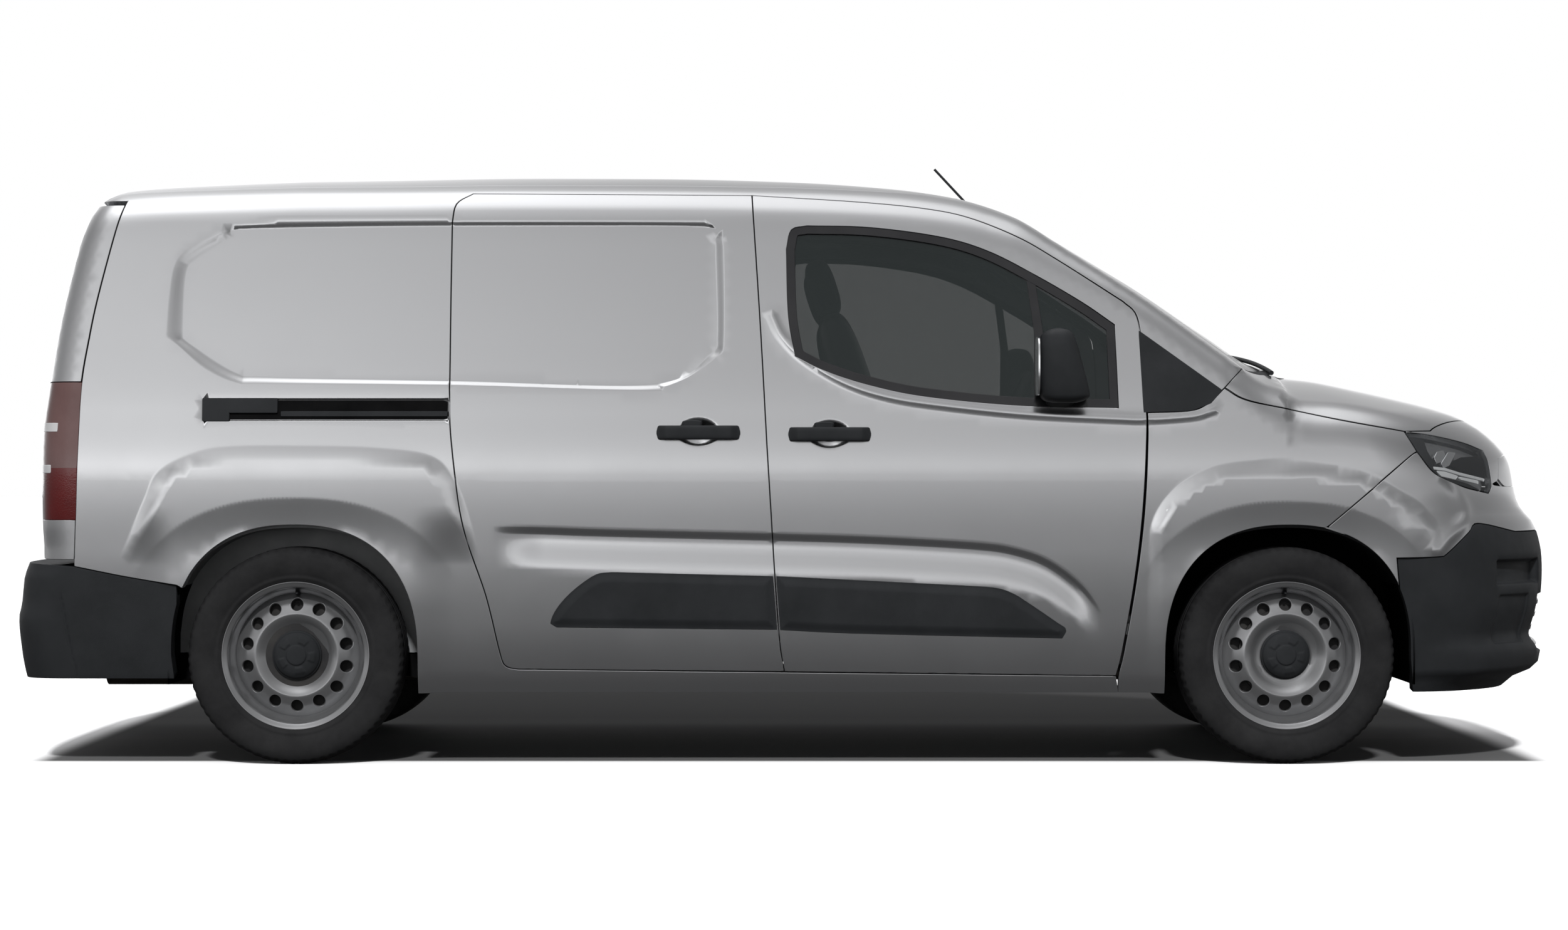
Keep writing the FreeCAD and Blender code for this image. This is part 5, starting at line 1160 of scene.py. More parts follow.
def nose_features():
    near = features[(features[:, 0] > 1.6) & (features[:, 1] < 0.96)]
    rows = np.concatenate([near, beside(even(NOSE_RIDGE, 0.012), RIDGE_ROWS)])
    flat = nose_wrap(on_side(rows))
    return np.concatenate([flat, flat * (-1, 1)])


def front_pieces():
    bonnet = cut(bonnet_loop(), bonnet_rays, step=0.03, depth=0.022)
    make("bonnet_skin", bonnet, PAINT, "bonnet_lid", ["bonnet"])
    nose = cut(nose_loop(), nose_rays, holes=[inset(grille_loop(), -0.001)], detail=nose_detail,
               extra=nose_features(), step=0.025, depth=0.022)
    make("nose_skin", nose, PAINT, "root", ["nose_panel"])
    grille = cut(grille_middle(), nose_rays, step=0.02, raise_by=-0.006, depth=0.03)
    make("grille_panel", grille, TRIM, "root", ["grille"])
    back = sheet(inset(grille_end(), -0.006), nose_rays, 0.02, 0.008, -0.004)
    end = cut(grille_end(), nose_rays, GAP * 0.6, step=0.02, depth=0.02)
    make_pair("grille_ends", end.joined(back), PAINT)
    bumper = cut(bumper_loop(), nose_rays, detail=bumper_detail, extra=bumper_features(), step=0.025,
                 depth=0.028)
    make("front_bumper_skin", bumper, TRIM, "root", ["front_bumper"])
    lens = sheet(inset(lamp_loop(), GAP), nose_rays, 0.025, 0.012)
    make_pair("head_lamp_lenses", lens, LENS, ["headlamps"])
    bowl = sheet(inset(lamp_loop(), GAP * 2), nose_rays, 0.025, 0.02, -0.03)
    make_pair("head_lamp_bowls", bowl, BOWL)


front_pieces()


def roof_loop():
    tail = roof_tail(np.linspace(-ROOF_SEAM, ROOF_SEAM, 70))[:, :2]
    side = columns(np.linspace(tail[0][0], HEADER_END, 150), -ROOF_SEAM)
    return loop_of(side, header_line(ROOF_SEAM)[1:], (side * (1, -1))[::-1][1:], tail[::-1])


def screen_loop():
    top = header_line(0.61)
    foot = screen_foot()
    right = even([top[0], foot[0]])
    return loop_of(right, foot[1:], (right * (1, -1))[::-1][1:], top[::-1])


def cowl_loop():
    return loop_of(screen_foot(), cowl_line()[::-1])


def top_pieces():
    make("roof_skin", cut(roof_loop(), top_rays, step=0.035, depth=0.03), PAINT, "root", ["roof"])
    loop = screen_loop()
    glass = cut(loop, top_rays, 0.040, step=0.04, depth=0.005, raise_by=-0.003)
    make("screen_glass", glass, SCREEN, "root", ["windscreen"])
    border = cut(loop, top_rays, holes=[inset(loop, 0.045)], step=0.03, depth=0.008, raise_by=-0.0015)
    make("screen_border", border, GLOSS, "root")
    make("cowl_cover", cut(cowl_loop(), top_rays, step=0.02, depth=0.02), TRIM, "root", ["cowl"])


top_pieces()


# The tail: doors that wrap the corners, lamps and the bumper
SPLIT = -0.150
DOOR_BASE = 0.341 * HEIGHT
DOOR_HEAD = 0.937 * HEIGHT
LAMP_HEAD = 0.637 * HEIGHT
LAMP_BREAK = 0.889
HINGE = (-2.111684, -0.886956)
LAMP_SWING = 0.176
TAIL_POCKETS = [(-0.70, -0.22, 1.14, 1.60, 0.006, 0.03), (-0.08, 0.70, 1.14, 1.60, 0.006, 0.03),
                (-0.06, 0.52, 0.80, 0.98, 0.012, 0.02)]
TAIL_LEVELS = (1.068, 1.075, 1.082, 1.145, 1.155, 1.165, 1.575, 1.585, 1.595, 0.803, 0.81, 0.818, 0.963,
               0.97, 0.977)
TAIL_UPRIGHTS = (-0.695, -0.685, -0.675, -0.245, -0.235, -0.225, -0.075, -0.065, -0.055, 0.675, 0.685,
                 0.695, -0.05, 0.505, 0.512)


def tail_flat(ys, heights):
    """Points on the tail, straight behind places across and heights, in its flat domain."""
    return tail_wrap(cast(columns(TAIL_MIDDLE, ys, heights), BACKWARD))


def swing_place(height):
    """Turn about the tail's upright line where the lamp ends, at a height."""
    marks = np.linspace(-1.3, -0.6, 200)
    spots = cast(*tail_rays(columns(marks, height)))
    away = np.hypot(spots[:, 0] - HINGE[0], spots[:, 1] - HINGE[1])
    away[spots[:, 0] > HINGE[0] - 0.05] = 9
    return marks[np.argmin(np.abs(away - LAMP_SWING))]


def lamp_edge(heights):
    """Turn of the lamp's inner edge at each height."""
    marks = heights[::4]
    return np.interp(heights, marks, [swing_place(z) for z in marks])


def gap_turns(heights):
    """Turn of the corner gap at each height."""
    spots = tail_wrap(on_side(view_line(REAR_GAP, 0.01)))
    return np.interp(heights, spots[:, 1], spots[:, 0])


def rear_door_loop(split):
    """Outline of the right-hand door; the gap with the other door is at the split."""
    high = np.linspace(LAMP_HEAD, DOOR_HEAD, 50)
    low = np.linspace(DOOR_BASE, LAMP_HEAD, 40)
    edge, corner = lamp_edge(low), gap_turns(high)
    top = tail_flat(np.linspace(split, -0.66, 50), DOOR_HEAD)
    foot = tail_flat(np.linspace(split, -0.60, 50), DOOR_BASE)
    middle = tail_flat(split, np.linspace(DOOR_BASE, DOOR_HEAD, 90))
    shelf = np.linspace(edge[-1], corner[0], 16)[1:-1]
    last = np.linspace(top[-1][0], corner[-1], 14)[1:-1]
    return loop_of(columns(edge, low), columns(shelf, LAMP_HEAD), columns(corner, high),
                   columns(last[::-1], DOOR_HEAD), top[::-1], middle[::-1], foot[1:])


def strip_between(inner, outer, heights, count):
    """A closed outline between two upright lines."""
    across = np.linspace(0, 1, count)[1:-1]
    top = columns(outer[-1] + (inner[-1] - outer[-1]) * across, heights[-1])
    foot = columns(inner[0] + (outer[0] - inner[0]) * across, heights[0])
    return loop_of(columns(outer, heights), top, columns(inner, heights)[::-1], foot)


def lamp_strip(low, high):
    heights = np.linspace(low, high, 40)
    return strip_between(lamp_edge(heights), gap_turns(heights), heights, 14)


def tail_detail(spots):
    """Plate hollow, waist crease and the blank window pressings of the rear doors."""
    y, z = spots[:, 1], spots[:, 2]
    return pockets(y, z, TAIL_POCKETS) - 0.004 * crest(z - 1.075, 0.012) * (np.abs(y) < 0.74)


def tail_features():
    rows = [tail_flat(np.linspace(-0.76, 0.76, 110), z) for z in TAIL_LEVELS]
    rows += [tail_flat(y, np.linspace(0.8, 1.6, 60)) for y in TAIL_UPRIGHTS]
    return np.concatenate(rows)


def tail_pieces():
    extra = tail_features()
    right = cut(rear_door_loop(SPLIT), tail_rays, detail=tail_detail, extra=extra, step=0.028, depth=0.045)
    make("rear_door_skin_right", right, PAINT, "back_door_right", ["rear_door_right"])
    left = cut(rear_door_loop(-SPLIT), tail_rays, detail=lambda spots: tail_detail(spots * (1, -1, 1)),
               extra=extra * (-1, 1), step=0.028, depth=0.045)
    make("rear_door_skin_left", left.flipped(), PAINT, "back_door_left", ["rear_door_left"])
    lamp = sheet(inset(lamp_strip(0.408 * HEIGHT, LAMP_BREAK), 0.0004), tail_rays, 0.02, 0.04)
    make_pair("tail_lamp_lenses", lamp, RED, ["tail_lamps"])
    lamp = sheet(inset(lamp_strip(LAMP_BREAK, LAMP_HEAD - 0.002), 0.0004), tail_rays, 0.02, 0.04)
    make_pair("tail_lamp_heads", lamp, SMOKE)
    cheek = cut(lamp_strip(DOOR_BASE + 0.002, 0.407 * HEIGHT), tail_rays, 0.001, step=0.02, depth=0.04)
    make_pair("corner_cheeks", cheek, PAINT, ["rear_corners"])


tail_pieces()


BUMPER_HEAD = 0.336 * HEIGHT
BUMPER_BASE = 0.256
BUMPER_SEAM = even([(-2.190, 0.50), (-2.184, 0.47), (-2.175, 0.414), (-2.163, 0.348), (-2.151, 0.295),
                    (-2.146, 0.258)], 0.01)


def bumper_flat(line):
    """Side view points on the rear bumper, in the tail's flat domain."""
    return tail_wrap(on_side(line, bumper_field))


def rear_bumper_loop():
    seam = bumper_flat(view_line(REAR_SEAM, 0.01))
    turns = np.linspace(seam[-1][0], 0, 90)
    fall = np.clip((turns - turns[0]) / 0.15 - 1, -1, 0) ** 2
    top = columns(turns, BUMPER_HEAD - (BUMPER_HEAD - seam[-1][1]) * fall)
    arch = bumper_flat(arch_line(REAR, 180, REAR_TURN))
    foot = bumper_flat(even([(REAR - ARCH_REACH, WHEEL_RADIUS), (REAR - 0.360, BUMPER_BASE)]))
    under = columns(np.linspace(foot[-1][0], 0, 80), BUMPER_BASE)
    return mirrored(np.concatenate([under[::-1][1:], foot[::-1], arch[1:-1], seam[:-1], top[:-1]]))


def seam_groove(points):
    return crest(distance(points, BUMPER_SEAM, False), 0.0035)


def bumper_groove(spots):
    """The seam between the bumper's middle and its corner pieces."""
    return -0.0025 * near_only(spots[:, [0, 2]], (-2.25, 0.2), (-2.1, 0.56), seam_groove)


def rear_bumper():
    rows = bumper_flat(beside(BUMPER_SEAM, (-0.012, -0.006, -0.003, 0.0, 0.003, 0.006, 0.012)))
    rows = np.concatenate([rows, rows * (-1, 1)])
    skin = cut(rear_bumper_loop(), tail_rays, detail=bumper_groove, extra=rows, step=0.025, depth=0.06,
               field=bumper_field, lining=False)
    make("rear_bumper_skin", skin, TRIM, "root", ["rear_bumper"])


rear_bumper()


# Side trim: mouldings, handles, rail covers, window surrounds and lamps of the sides
SLIDE_MOULDING = [[(-0.723, 0.424), (-0.716, 0.448), (-0.690, 0.487), (-0.646, 0.530), (-0.587, 0.570),
                   (-0.540, 0.577)], [(-0.540, 0.577), (-0.0585, 0.565)],
                  [(-0.0585, 0.565), (-0.0465, 0.406)], [(-0.0465, 0.406), (-0.705, 0.413)],
                  [(-0.705, 0.413), (-0.723, 0.424)]]
DOOR_MOULDING = [[(-0.0475, 0.565), (0.514, 0.537)],
                 [(0.514, 0.537), (0.608, 0.530), (0.660, 0.513), (0.701, 0.488), (0.750, 0.455),
                  (0.795, 0.424)], [(0.795, 0.424), (0.819, 0.406), (0.807, 0.380)],
                 [(0.807, 0.380), (0.209, 0.394), (-0.0355, 0.405)], [(-0.0355, 0.405), (-0.0475, 0.565)]]


def straight_loop(corners, step=0.012):
    """A closed outline of straight edges."""
    return loop_of(*[even([a, b], step) for a, b in zip(corners, corners[1:] + corners[:1])])


def side_sheet(corners, step, depth, raise_by, cut_step=0.012, edge=EDGE):
    """A small flat part with straight edges on the side."""
    return sheet(side_flat(straight_loop(corners, cut_step)), side_rays, step, depth, raise_by, edge)


def moulding(lines):
    """One half of a lower side moulding: bevelled edges round a flat band that stands proud."""
    outline = loop_of(*[even(line) for line in lines])

    def proud(spots):
        return 0.0025 + 0.0062 * rise(distance(spots[:, [0, 2]], outline), 0.030)

    rows = [inset(outline, amount) for amount in (0.006, 0.012, 0.018, 0.024, 0.030, 0.036)]
    return cut(side_flat(outline), side_rays, 0.0005, detail=proud, extra=side_flat(np.concatenate(rows)),
               step=0.02, depth=0.008, lining=False)


def loft(rings):
    """A closed skin over rings of points that follow each other, with flat ends."""
    rings = np.asarray(rings, float)
    count, around = rings.shape[:2]
    across = np.roll(rings, -1, 1) - np.roll(rings, 1, 1)
    normals = unit(np.cross(across, np.gradient(rings, axis=0)))
    if np.sum(normals * (rings - rings.mean(1)[:, None])) < 0:
        normals = -normals
    spots, normals = rings.reshape(-1, 3), normals.reshape(-1, 3)
    shell = Shell()
    shell.add(spots, normals, facing(spots, normals, quads_of(count, around, False, True)))
    fan = np.array([(i, (i + 1) % around, around) for i in range(around)])
    for ring, other in ((rings[0], rings[1]), (rings[-1], rings[-2])):
        spots = np.concatenate([ring, [ring.mean(0)]])
        normals = np.tile(unit(ring.mean(0) - other.mean(0)), (around + 1, 1))
        shell.add(spots, normals, facing(spots, normals, fan))
    return shell


def rounded(a, b, power=3.0, count=28):
    """A rounded oblong about zero."""
    c, s = np.cos(turns_of(count)), np.sin(turns_of(count))
    return columns(a * np.sign(c) * np.abs(c) ** (2 / power), b * np.sign(s) * np.abs(s) ** (2 / power))


def circle(radius, count, x=0.0, y=0.0):
    turns = turns_of(count)
    return columns(x + radius * np.cos(turns), y + radius * np.sin(turns))


def skin_at(x, height):
    """How far across the right side's skin is at a place."""
    return on_side(np.array([[x, height]]))[0][1]


def stacked(x, y, z, outline, steps):
    """A form from one outline in side view, at several places across and sizes."""
    return loft([columns(x + outline[:, 0] * size, y + out, z + outline[:, 1] * size) for out, size in steps])


def pull_handle(start, end, height):
    """A grip that rises from the skin at both ends and bridges its finger cup."""
    rings = []
    shares = [np.linspace(0, 0.12, 9), np.linspace(0.15, 0.85, 22), np.linspace(0.88, 1, 9)]
    for share in np.concatenate(shares):
        x = start + (end - start) * share
        from_end = min(share, 1 - share)
        swell = float(rise(from_end, 0.13))
        round_end = math.sqrt(max(0.0, 1 - (1 - min(from_end / 0.035, 1)) ** 2))
        oblong = rounded(0.0055 + 0.003 * swell, 0.0045 + 0.0165 * round_end)
        middle = skin_at(x, height) - 0.006 - 0.016 * swell
        rings.append(columns(x, middle + oblong[:, 0], height + oblong[:, 1]))
    return loft(rings)


def lug(x, height):
    """The small lock body behind the grip, in the cup."""
    steps = ((0.012, 1.0), (-0.004, 1.0), (-0.010, 0.93), (-0.012, 0.8))
    return stacked(x, skin_at(x, height), height, rounded(0.030, 0.012, 4), steps)


def side_trim():
    make_pair("slide_mouldings", moulding(SLIDE_MOULDING), TRIM, ["slide_trim"])
    both_sides("door_moulding", moulding(DOOR_MOULDING), TRIM, "front_trim", DOORS)
    grip = pull_handle(-0.406, -0.156, 0.995).joined(lug(-0.300, 1.020))
    make_pair("slide_handles", grip, TRIM)
    grip = pull_handle(-0.012, 0.235, 0.990).joined(lug(0.095, 1.015))
    both_sides("door_handle", grip, TRIM, None, DOORS)


def rail_covers():
    """Dark rail in its slot behind the sliding door, its near-black partly painted shade in the slot, with a
    grey end cover.
    """
    corners = [(-1.760, 1.035), (-1.031, 1.035), (-1.031, 1.093), (-1.760, 1.093)]
    # The rail bed's near-black is partly painted shade in the slot
    make_pair("rail_beds", side_sheet(corners, 0.03, 0.006, -0.0068), BLACK_AND_PAINTED_SHADE)
    corners = [(-1.530, 1.045), (-1.033, 1.045), (-1.033, 1.058), (-1.530, 1.058)]
    strip = side_sheet(corners, 0.03, 0.004, -0.003)
    corners = [(-1.763, 1.097), (-1.543, 1.097), (-1.543, 1.056), (-1.687, 1.056), (-1.687, 1.031),
               (-1.763, 1.031)]
    cover = side_sheet(corners, 0.02, 0.006, 0.0005, 0.006, 0.003)
    make_pair("rail_covers", strip.joined(cover), TRIM)


def window_surrounds():
    """Side window: pane, black edge band, division bar and the fixed corner panel."""
    loop = window_loop()
    pane = cut(loop, side_rays, 0.014, step=0.05, depth=0.004, raise_by=-0.0085)
    both_sides("side_pane", pane, GLASS, "door_glass", DOORS)
    band = cut(loop, side_rays, 0.0012, holes=[inset(loop, 0.024)], step=0.02, depth=0.007, raise_by=-0.003)
    corners = [(0.700, 1.500), (0.724, 1.490), (0.751, 1.300), (0.752, 1.072), (0.726, 1.072), (0.727, 1.300)]
    bar = side_sheet(corners, 0.03, 0.006, -0.0038)
    both_sides("window_band", band.joined(bar), GLOSS, None, DOORS)
    corners = [(1.040, 1.300), (1.286, 1.122), (1.252, 1.083), (1.194, 1.061), (1.052, 1.056)]
    make_pair("corner_panels", side_sheet(corners, 0.02, 0.006, 0.0012), TRIM)


def repeaters():
    """Small clear turn lamp on each wing, in a dark ring."""
    x, height, size = 1.134, 0.760, 0.0265
    place = (x, skin_at(x, height), height, rounded(size, size * 0.52, 2.4, 40))
    ring = stacked(*place, [(0.004, 1.0), (-0.001, 1.0), (-0.0028, 0.96), (-0.0032, 0.86)])
    lens = stacked(*place, [(-0.001, 0.86), (-0.0045, 0.82), (-0.0068, 0.62), (-0.0076, 0.3),
                            (-0.0078, 0.05)])
    make_pair("repeater_rings", ring, GLOSS)
    make_pair("repeater_lenses", lens, CLEAR)


side_trim()
rail_covers()
window_surrounds()
repeaters()


# Outside mirrors
MIRROR_RINGS = [(1.083, 0.775, 0.845, 0.060), (1.090, 0.745, 0.868, 0.078), (1.104, 0.733, 0.884, 0.088),
                (1.140, 0.726, 0.878, 0.092), (1.187, 0.722, 0.866, 0.092), (1.235, 0.724, 0.853, 0.090),
                (1.281, 0.734, 0.838, 0.082), (1.297, 0.750, 0.825, 0.070), (1.304, 0.775, 0.800, 0.048)]
MIRROR_MIDDLE = -0.958


def mirrors():
    """Housings with a flat back that holds the glass, on a foot from the door."""
    table = np.array(MIRROR_RINGS)
    rings = []
    for z in 1.0835 + 0.220 * (1 - np.cos(np.linspace(0, np.pi, 40))) / 2:
        back, front, half = [float(smooth(table[:, [0, k]], z)) for k in (1, 2, 3)]
        oblong = rounded((front - back) / 2, half, 2.7, 64)
        x = np.maximum((front + back) / 2 + oblong[:, 0], back + 0.006)
        rings.append(columns(x, MIRROR_MIDDLE + oblong[:, 1], z))
    foot = []
    for share in np.linspace(0, 1, 12):
        oblong = rounded(0.046 - 0.012 * share, 0.020 - 0.004 * share, 2.6)
        y, z = -0.872 - 0.075 * share, 1.078 + 0.030 * share
        foot.append(columns(0.800 + oblong[:, 0], y, z + oblong[:, 1]))
    both_sides("mirror_housing", loft(rings).joined(loft(foot)), TRIM, "mirror", DOORS)
    oblong = rounded(0.078, 0.088, 3.6, 48)
    glass = [columns(0.7285 - depth, MIRROR_MIDDLE + oblong[:, 0] * size, 1.192 + oblong[:, 1] * size)
             for depth, size in ((-0.004, 1.0), (0.0008, 1.0), (0.0016, 0.985), (0.0018, 0.9))]
    both_sides("mirror_glass", loft(glass), CHROME, None, DOORS)


mirrors()


# Wheels and tyres
TYRE_SIDE = [(0.2145, 0.0), (0.2145, 0.060), (0.2150, 0.080), (0.2225, 0.088), (0.228, 0.0905),
             (0.232, 0.0935), (0.236, 0.0945), (0.240, 0.0935), (0.250, 0.097), (0.265, 0.1005),
             (0.280, 0.102), (0.293, 0.1015), (0.303, 0.099), (0.311, 0.095), (0.3165, 0.090),
             (0.320, 0.084), (0.3225, 0.078), (0.3245, 0.070)]
TREAD_HALF = [(0.3248, 0.0565), (0.3175, 0.0545), (0.3175, 0.0485), (0.3252, 0.0465), (0.3257, 0.022),
              (0.318, 0.0203), (0.318, 0.0147), (0.3258, 0.0127), (0.3259, 0.0)]
DISC_FACE = [(0.0, 0.040), (0.078, 0.040), (0.086, 0.0412), (0.098, 0.0475), (0.110, 0.0555),
             (0.118, 0.0600), (0.1245, 0.0618), (0.131, 0.0600), (0.141, 0.0552), (0.153, 0.0498),
             (0.168, 0.0400), (0.180, 0.0298), (0.186, 0.0250), (0.200, 0.0160)]
BRAKE_PLATE = [(0.052, 0.0150), (0.1835, 0.0150), (0.1840, 0.0120), (0.052, 0.0120)]
BARREL = [(0.1860, 0.0250), (0.1885, 0.0330), (0.1935, 0.0430), (0.1985, 0.0510), (0.2012, 0.0600),
          (0.2020, 0.0720), (0.2040, 0.0795), (0.2085, 0.0832), (0.2145, 0.0850), (0.2185, 0.0878),
          (0.2208, 0.0892), (0.2220, 0.0880), (0.2218, 0.0862), (0.2160, 0.0815), (0.2120, 0.0780),
          (0.2110, 0.0700), (0.2100, 0.0500), (0.1960, 0.0280), (0.1950, -0.0200), (0.2090, -0.0380),
          (0.2100, -0.0740), (0.2160, -0.0810), (0.2215, -0.0885), (0.2190, -0.0890), (0.2030, -0.0800),
          (0.2020, -0.0420), (0.1870, -0.0250), (0.1862, 0.0100)]
CAP = [(0.0010, 0.0742), (0.0200, 0.0740), (0.0290, 0.0730), (0.0305, 0.0708), (0.0420, 0.0698),
       (0.0560, 0.0668), (0.0640, 0.0628), (0.0685, 0.0590), (0.0700, 0.0545), (0.0725, 0.0540),
       (0.0740, 0.0525), (0.0745, 0.0392)]
DISC_EDGE = 0.1862
VENT_RING = 0.153
VENT_RADIUS = 0.0205
VENTS = 14
DISC_RINGS = (0.080, 0.088, 0.096, 0.104, 0.112, 0.120, 0.126, 0.131, 0.180)


def turned(profile, centre, segments, shape=None, closed=True):
    """A profile of radius and outward place, turned about a right-hand wheel's axle."""
    profile = np.asarray(profile, float)
    turns = turns_of(segments)[:, None]
    radius, out = [np.broadcast_to(column, (segments, len(profile))) for column in profile.T]
    if shape:
        radius, out = shape(radius, out, turns)
    x0, y0, z0 = centre
    spots = columns(x0 + radius * np.cos(turns), y0 - out, z0 + radius * np.sin(turns))
    run = np.roll(spots, -1, 1) - np.roll(spots, 1, 1) if closed else np.gradient(spots, axis=1)
    normals = unit(np.cross(np.roll(spots, -1, 0) - np.roll(spots, 1, 0), run))
    wanted = columns(-np.gradient(profile[:, 1]), -np.gradient(profile[:, 0]), 0)
    if np.sum(normals[0] * wanted) < 0:
        normals = -normals
    spots, normals = spots.reshape(-1, 3), normals.reshape(-1, 3)
    shell = Shell()
    shell.add(spots, normals, facing(spots, normals, quads_of(segments, len(profile), True, closed)))
    return shell


def tyre_shape(radius, out, turns):
    """Notches across the shoulders, every third step of the tread."""
    notch = (np.arange(len(turns)) % 3 == 0)[:, None] & (radius > 0.3150) & (np.abs(out) > 0.060)
    return radius - 0.0035 * notch, out


def cap_shape(radius, out, turns):
    """Five shallow lobes round the middle of the wheel cap."""
    band = rise(radius - 0.033, 0.008) * rise(0.062 - radius, 0.010)
    return radius, out + 0.0022 * band * rise(np.cos(5 * turns + 0.6) + 0.15, 0.5)


def wheel_disc(centre):
    """The dished disc with its ring of round vents."""
    x0, y0, z0 = centre

    def field(spots):
        radius = np.hypot(spots[:, 0] - x0, spots[:, 2] - z0)
        return (y0 - spots[:, 1]) - smooth(DISC_FACE, radius)

    def rays(flat):
        return columns(x0 + flat[:, 0], y0 + 0.02, z0 + flat[:, 1]), RIGHTWARD

    vents = [circle(VENT_RADIUS, 28, VENT_RING * math.sin(turn), VENT_RING * math.cos(turn))
             for turn in turns_of(VENTS)]
    rows = np.concatenate([circle(radius, 110) for radius in DISC_RINGS])
    return panel(circle(DISC_EDGE, 160), rays, vents, extra=rows, step=0.012, depth=0.006, field=field,
                 edge=0.0025)


def valve(centre):
    """Short rubber valve stem in the disc's edge."""
    x0, y0, z0 = centre
    steps = ((-0.028, 0.0075), (-0.040, 0.0070), (-0.046, 0.0048), (-0.060, 0.0046), (-0.0612, 0.0034))
    return stacked(x0, y0, z0 + 0.187, circle(1.0, 20), steps)


def wheels():
    side = even(TYRE_SIDE[3:], 0.0042)
    tread = [even([a, b], 0.006)[:-1] for a, b in zip(TREAD_HALF, TREAD_HALF[1:])]
    outer = np.concatenate([TYRE_SIDE[:3], side, *tread, TREAD_HALF[-1:]])
    tyre = np.concatenate([outer, (outer * (1, -1))[::-1][1:-1]])
    lobes = even(CAP, 0.0022)
    for end, x, y in (("front", FRONT, 0.7765), ("rear", REAR, 0.784)):
        centre = (x, -y, WHEEL_RADIUS)
        cap = turned(lobes, centre, 120, cap_shape, False).joined(valve(centre))
        pieces = [("tyre_tread", turned(tyre, centre, 216, tyre_shape), TYRE, "tyre", None),
                  ("wheel_barrel", turned(BARREL, centre, 160), WHEEL, "rim", None),
                  ("wheel_disc", wheel_disc(centre), WHEEL, None, "wheel_paint"),
                  ("brake_plate", turned(BRAKE_PLATE, centre, 96), CHASSIS, None, "cast"),
                  ("wheel_cap", cap, TRIM, None, "wheel_paint")]
        bodies = ["wheel_%s_%s" % (end, hand) for hand in ("right", "left")]
        for name, shell, paint, node, slot in pieces:
            both_sides(name + "_" + end, shell, paint, node and node + "_" + end, bodies)


wheels()


# Nose: bars in the grille, the bumper's pockets and what is inside the headlamps
LAMP_REAR_DARK = [(1.853, 0.988), (1.906, 0.977), (1.914, 0.945), (1.936, 0.904), (1.949, 0.865),
                  (1.921, 0.885), (1.886, 0.927)]
LAMP_FRONT_DARK = [(1.991, 0.901), (2.039, 0.924), (2.116, 0.929), (2.131, 0.889), (2.124, 0.859),
                   (2.070, 0.875), (2.029, 0.883)]
LAMP_FOOT_DARK = [(1.950, 0.857), (1.988, 0.844), (2.043, 0.834), (2.089, 0.818), (2.105, 0.823),
                  (2.062, 0.841), (2.006, 0.855), (1.959, 0.865)]
LAMP_BLADES = [([(1.941, 0.924), (1.951, 0.941), (1.973, 0.947), (1.978, 0.935), (1.961, 0.911),
                 (1.947, 0.907)], -0.012),
               ([(1.963, 0.904), (1.990, 0.941), (2.014, 0.939), (1.990, 0.900), (1.972, 0.894)], -0.010)]
LAMP_STRIPS = [[(1.933, 0.893), (1.972, 0.889), (2.025, 0.875), (2.120, 0.856), (2.118, 0.850),
                (2.025, 0.869), (1.972, 0.883), (1.935, 0.887)],
               [(1.944, 0.880), (1.971, 0.878), (2.018, 0.865), (2.009, 0.856), (1.959, 0.866)],
               [(2.025, 0.862), (2.095, 0.850), (2.095, 0.842), (2.030, 0.855)]]


def nose_sheet(corners, step, depth, raise_by, cut_step=0.012, edge=EDGE):
    """A small part with straight edges in side view, on the nose."""
    loop = nose_wrap(on_side(straight_loop(corners, cut_step)))
    return sheet(loop, nose_rays, step, depth, raise_by, edge)


def nose_bar(half, low, tall, depth, raise_by):
    """A level bar across the nose."""
    loop = straight_loop([(-half, low), (half, low), (half, low + tall), (-half, low + tall)])
    return sheet(nose_wrap(nose_line(*loop.T)), nose_rays, 0.03, depth, raise_by)


def grille_bars():
    bars = [nose_bar(0.400, z, 0.009, 0.008, -0.004) for z in (0.852, 0.878, 0.904)]
    bars += [nose_bar(0.475, z, 0.012, 0.014, -0.006) for z in (0.345, 0.385, 0.425, 0.465)]
    make("grille_bars", together(bars), GLOSS, "root")


def lamp_insides():
    """Reflector blades, a light strip and dark end pieces behind the clear lens; the end pieces' near-black
    is partly their own black and partly painted shade inside the lamp.
    """
    forms = ((LAMP_REAR_DARK, -0.010), (LAMP_FRONT_DARK, -0.012), (LAMP_FOOT_DARK, -0.014))
    dark = together(nose_sheet(corners, 0.02, 0.010, sink) for corners, sink in forms)
    blades = together(nose_sheet(corners, 0.01, 0.010, sink, 0.006, 0.003) for corners, sink in LAMP_BLADES)
    strips = together(nose_sheet(corners, 0.01, 0.006, -0.008, 0.006, 0.002) for corners in LAMP_STRIPS)
    # The dark parts' near-black is partly painted shade inside the lamp
    make_pair("lamp_dark_parts", dark, BLACK_AND_PAINTED_SHADE)
    make_pair("lamp_blades", blades, CHROME)
    make_pair("lamp_strips", strips, CLEAR)


grille_bars()
lamp_insides()


# Tail: light bands in the corner lamps, handle bar and high brake lamp
def tail_band(low, high, share):
    """A strip across the lamp from its inner edge to a share of its width."""
    heights = np.linspace(low, high, 6)
    inner = np.array([swing_place(z) for z in heights])
    outer = inner + (gap_turns(heights) - inner) * share
    return inset(strip_between(inner, outer, heights, 10), 0.001)


def tail_box(y0, y1, z0, z1):
    """An upright oblong on the tail, in its flat domain."""
    ys, zs = np.linspace(y0, y1, 14), np.linspace(z0, z1, 6)
    return loop_of(tail_flat(ys, z0), tail_flat(y1, zs)[1:], tail_flat(ys, z1)[::-1][1:],
                   tail_flat(y0, zs)[::-1][1:-1])


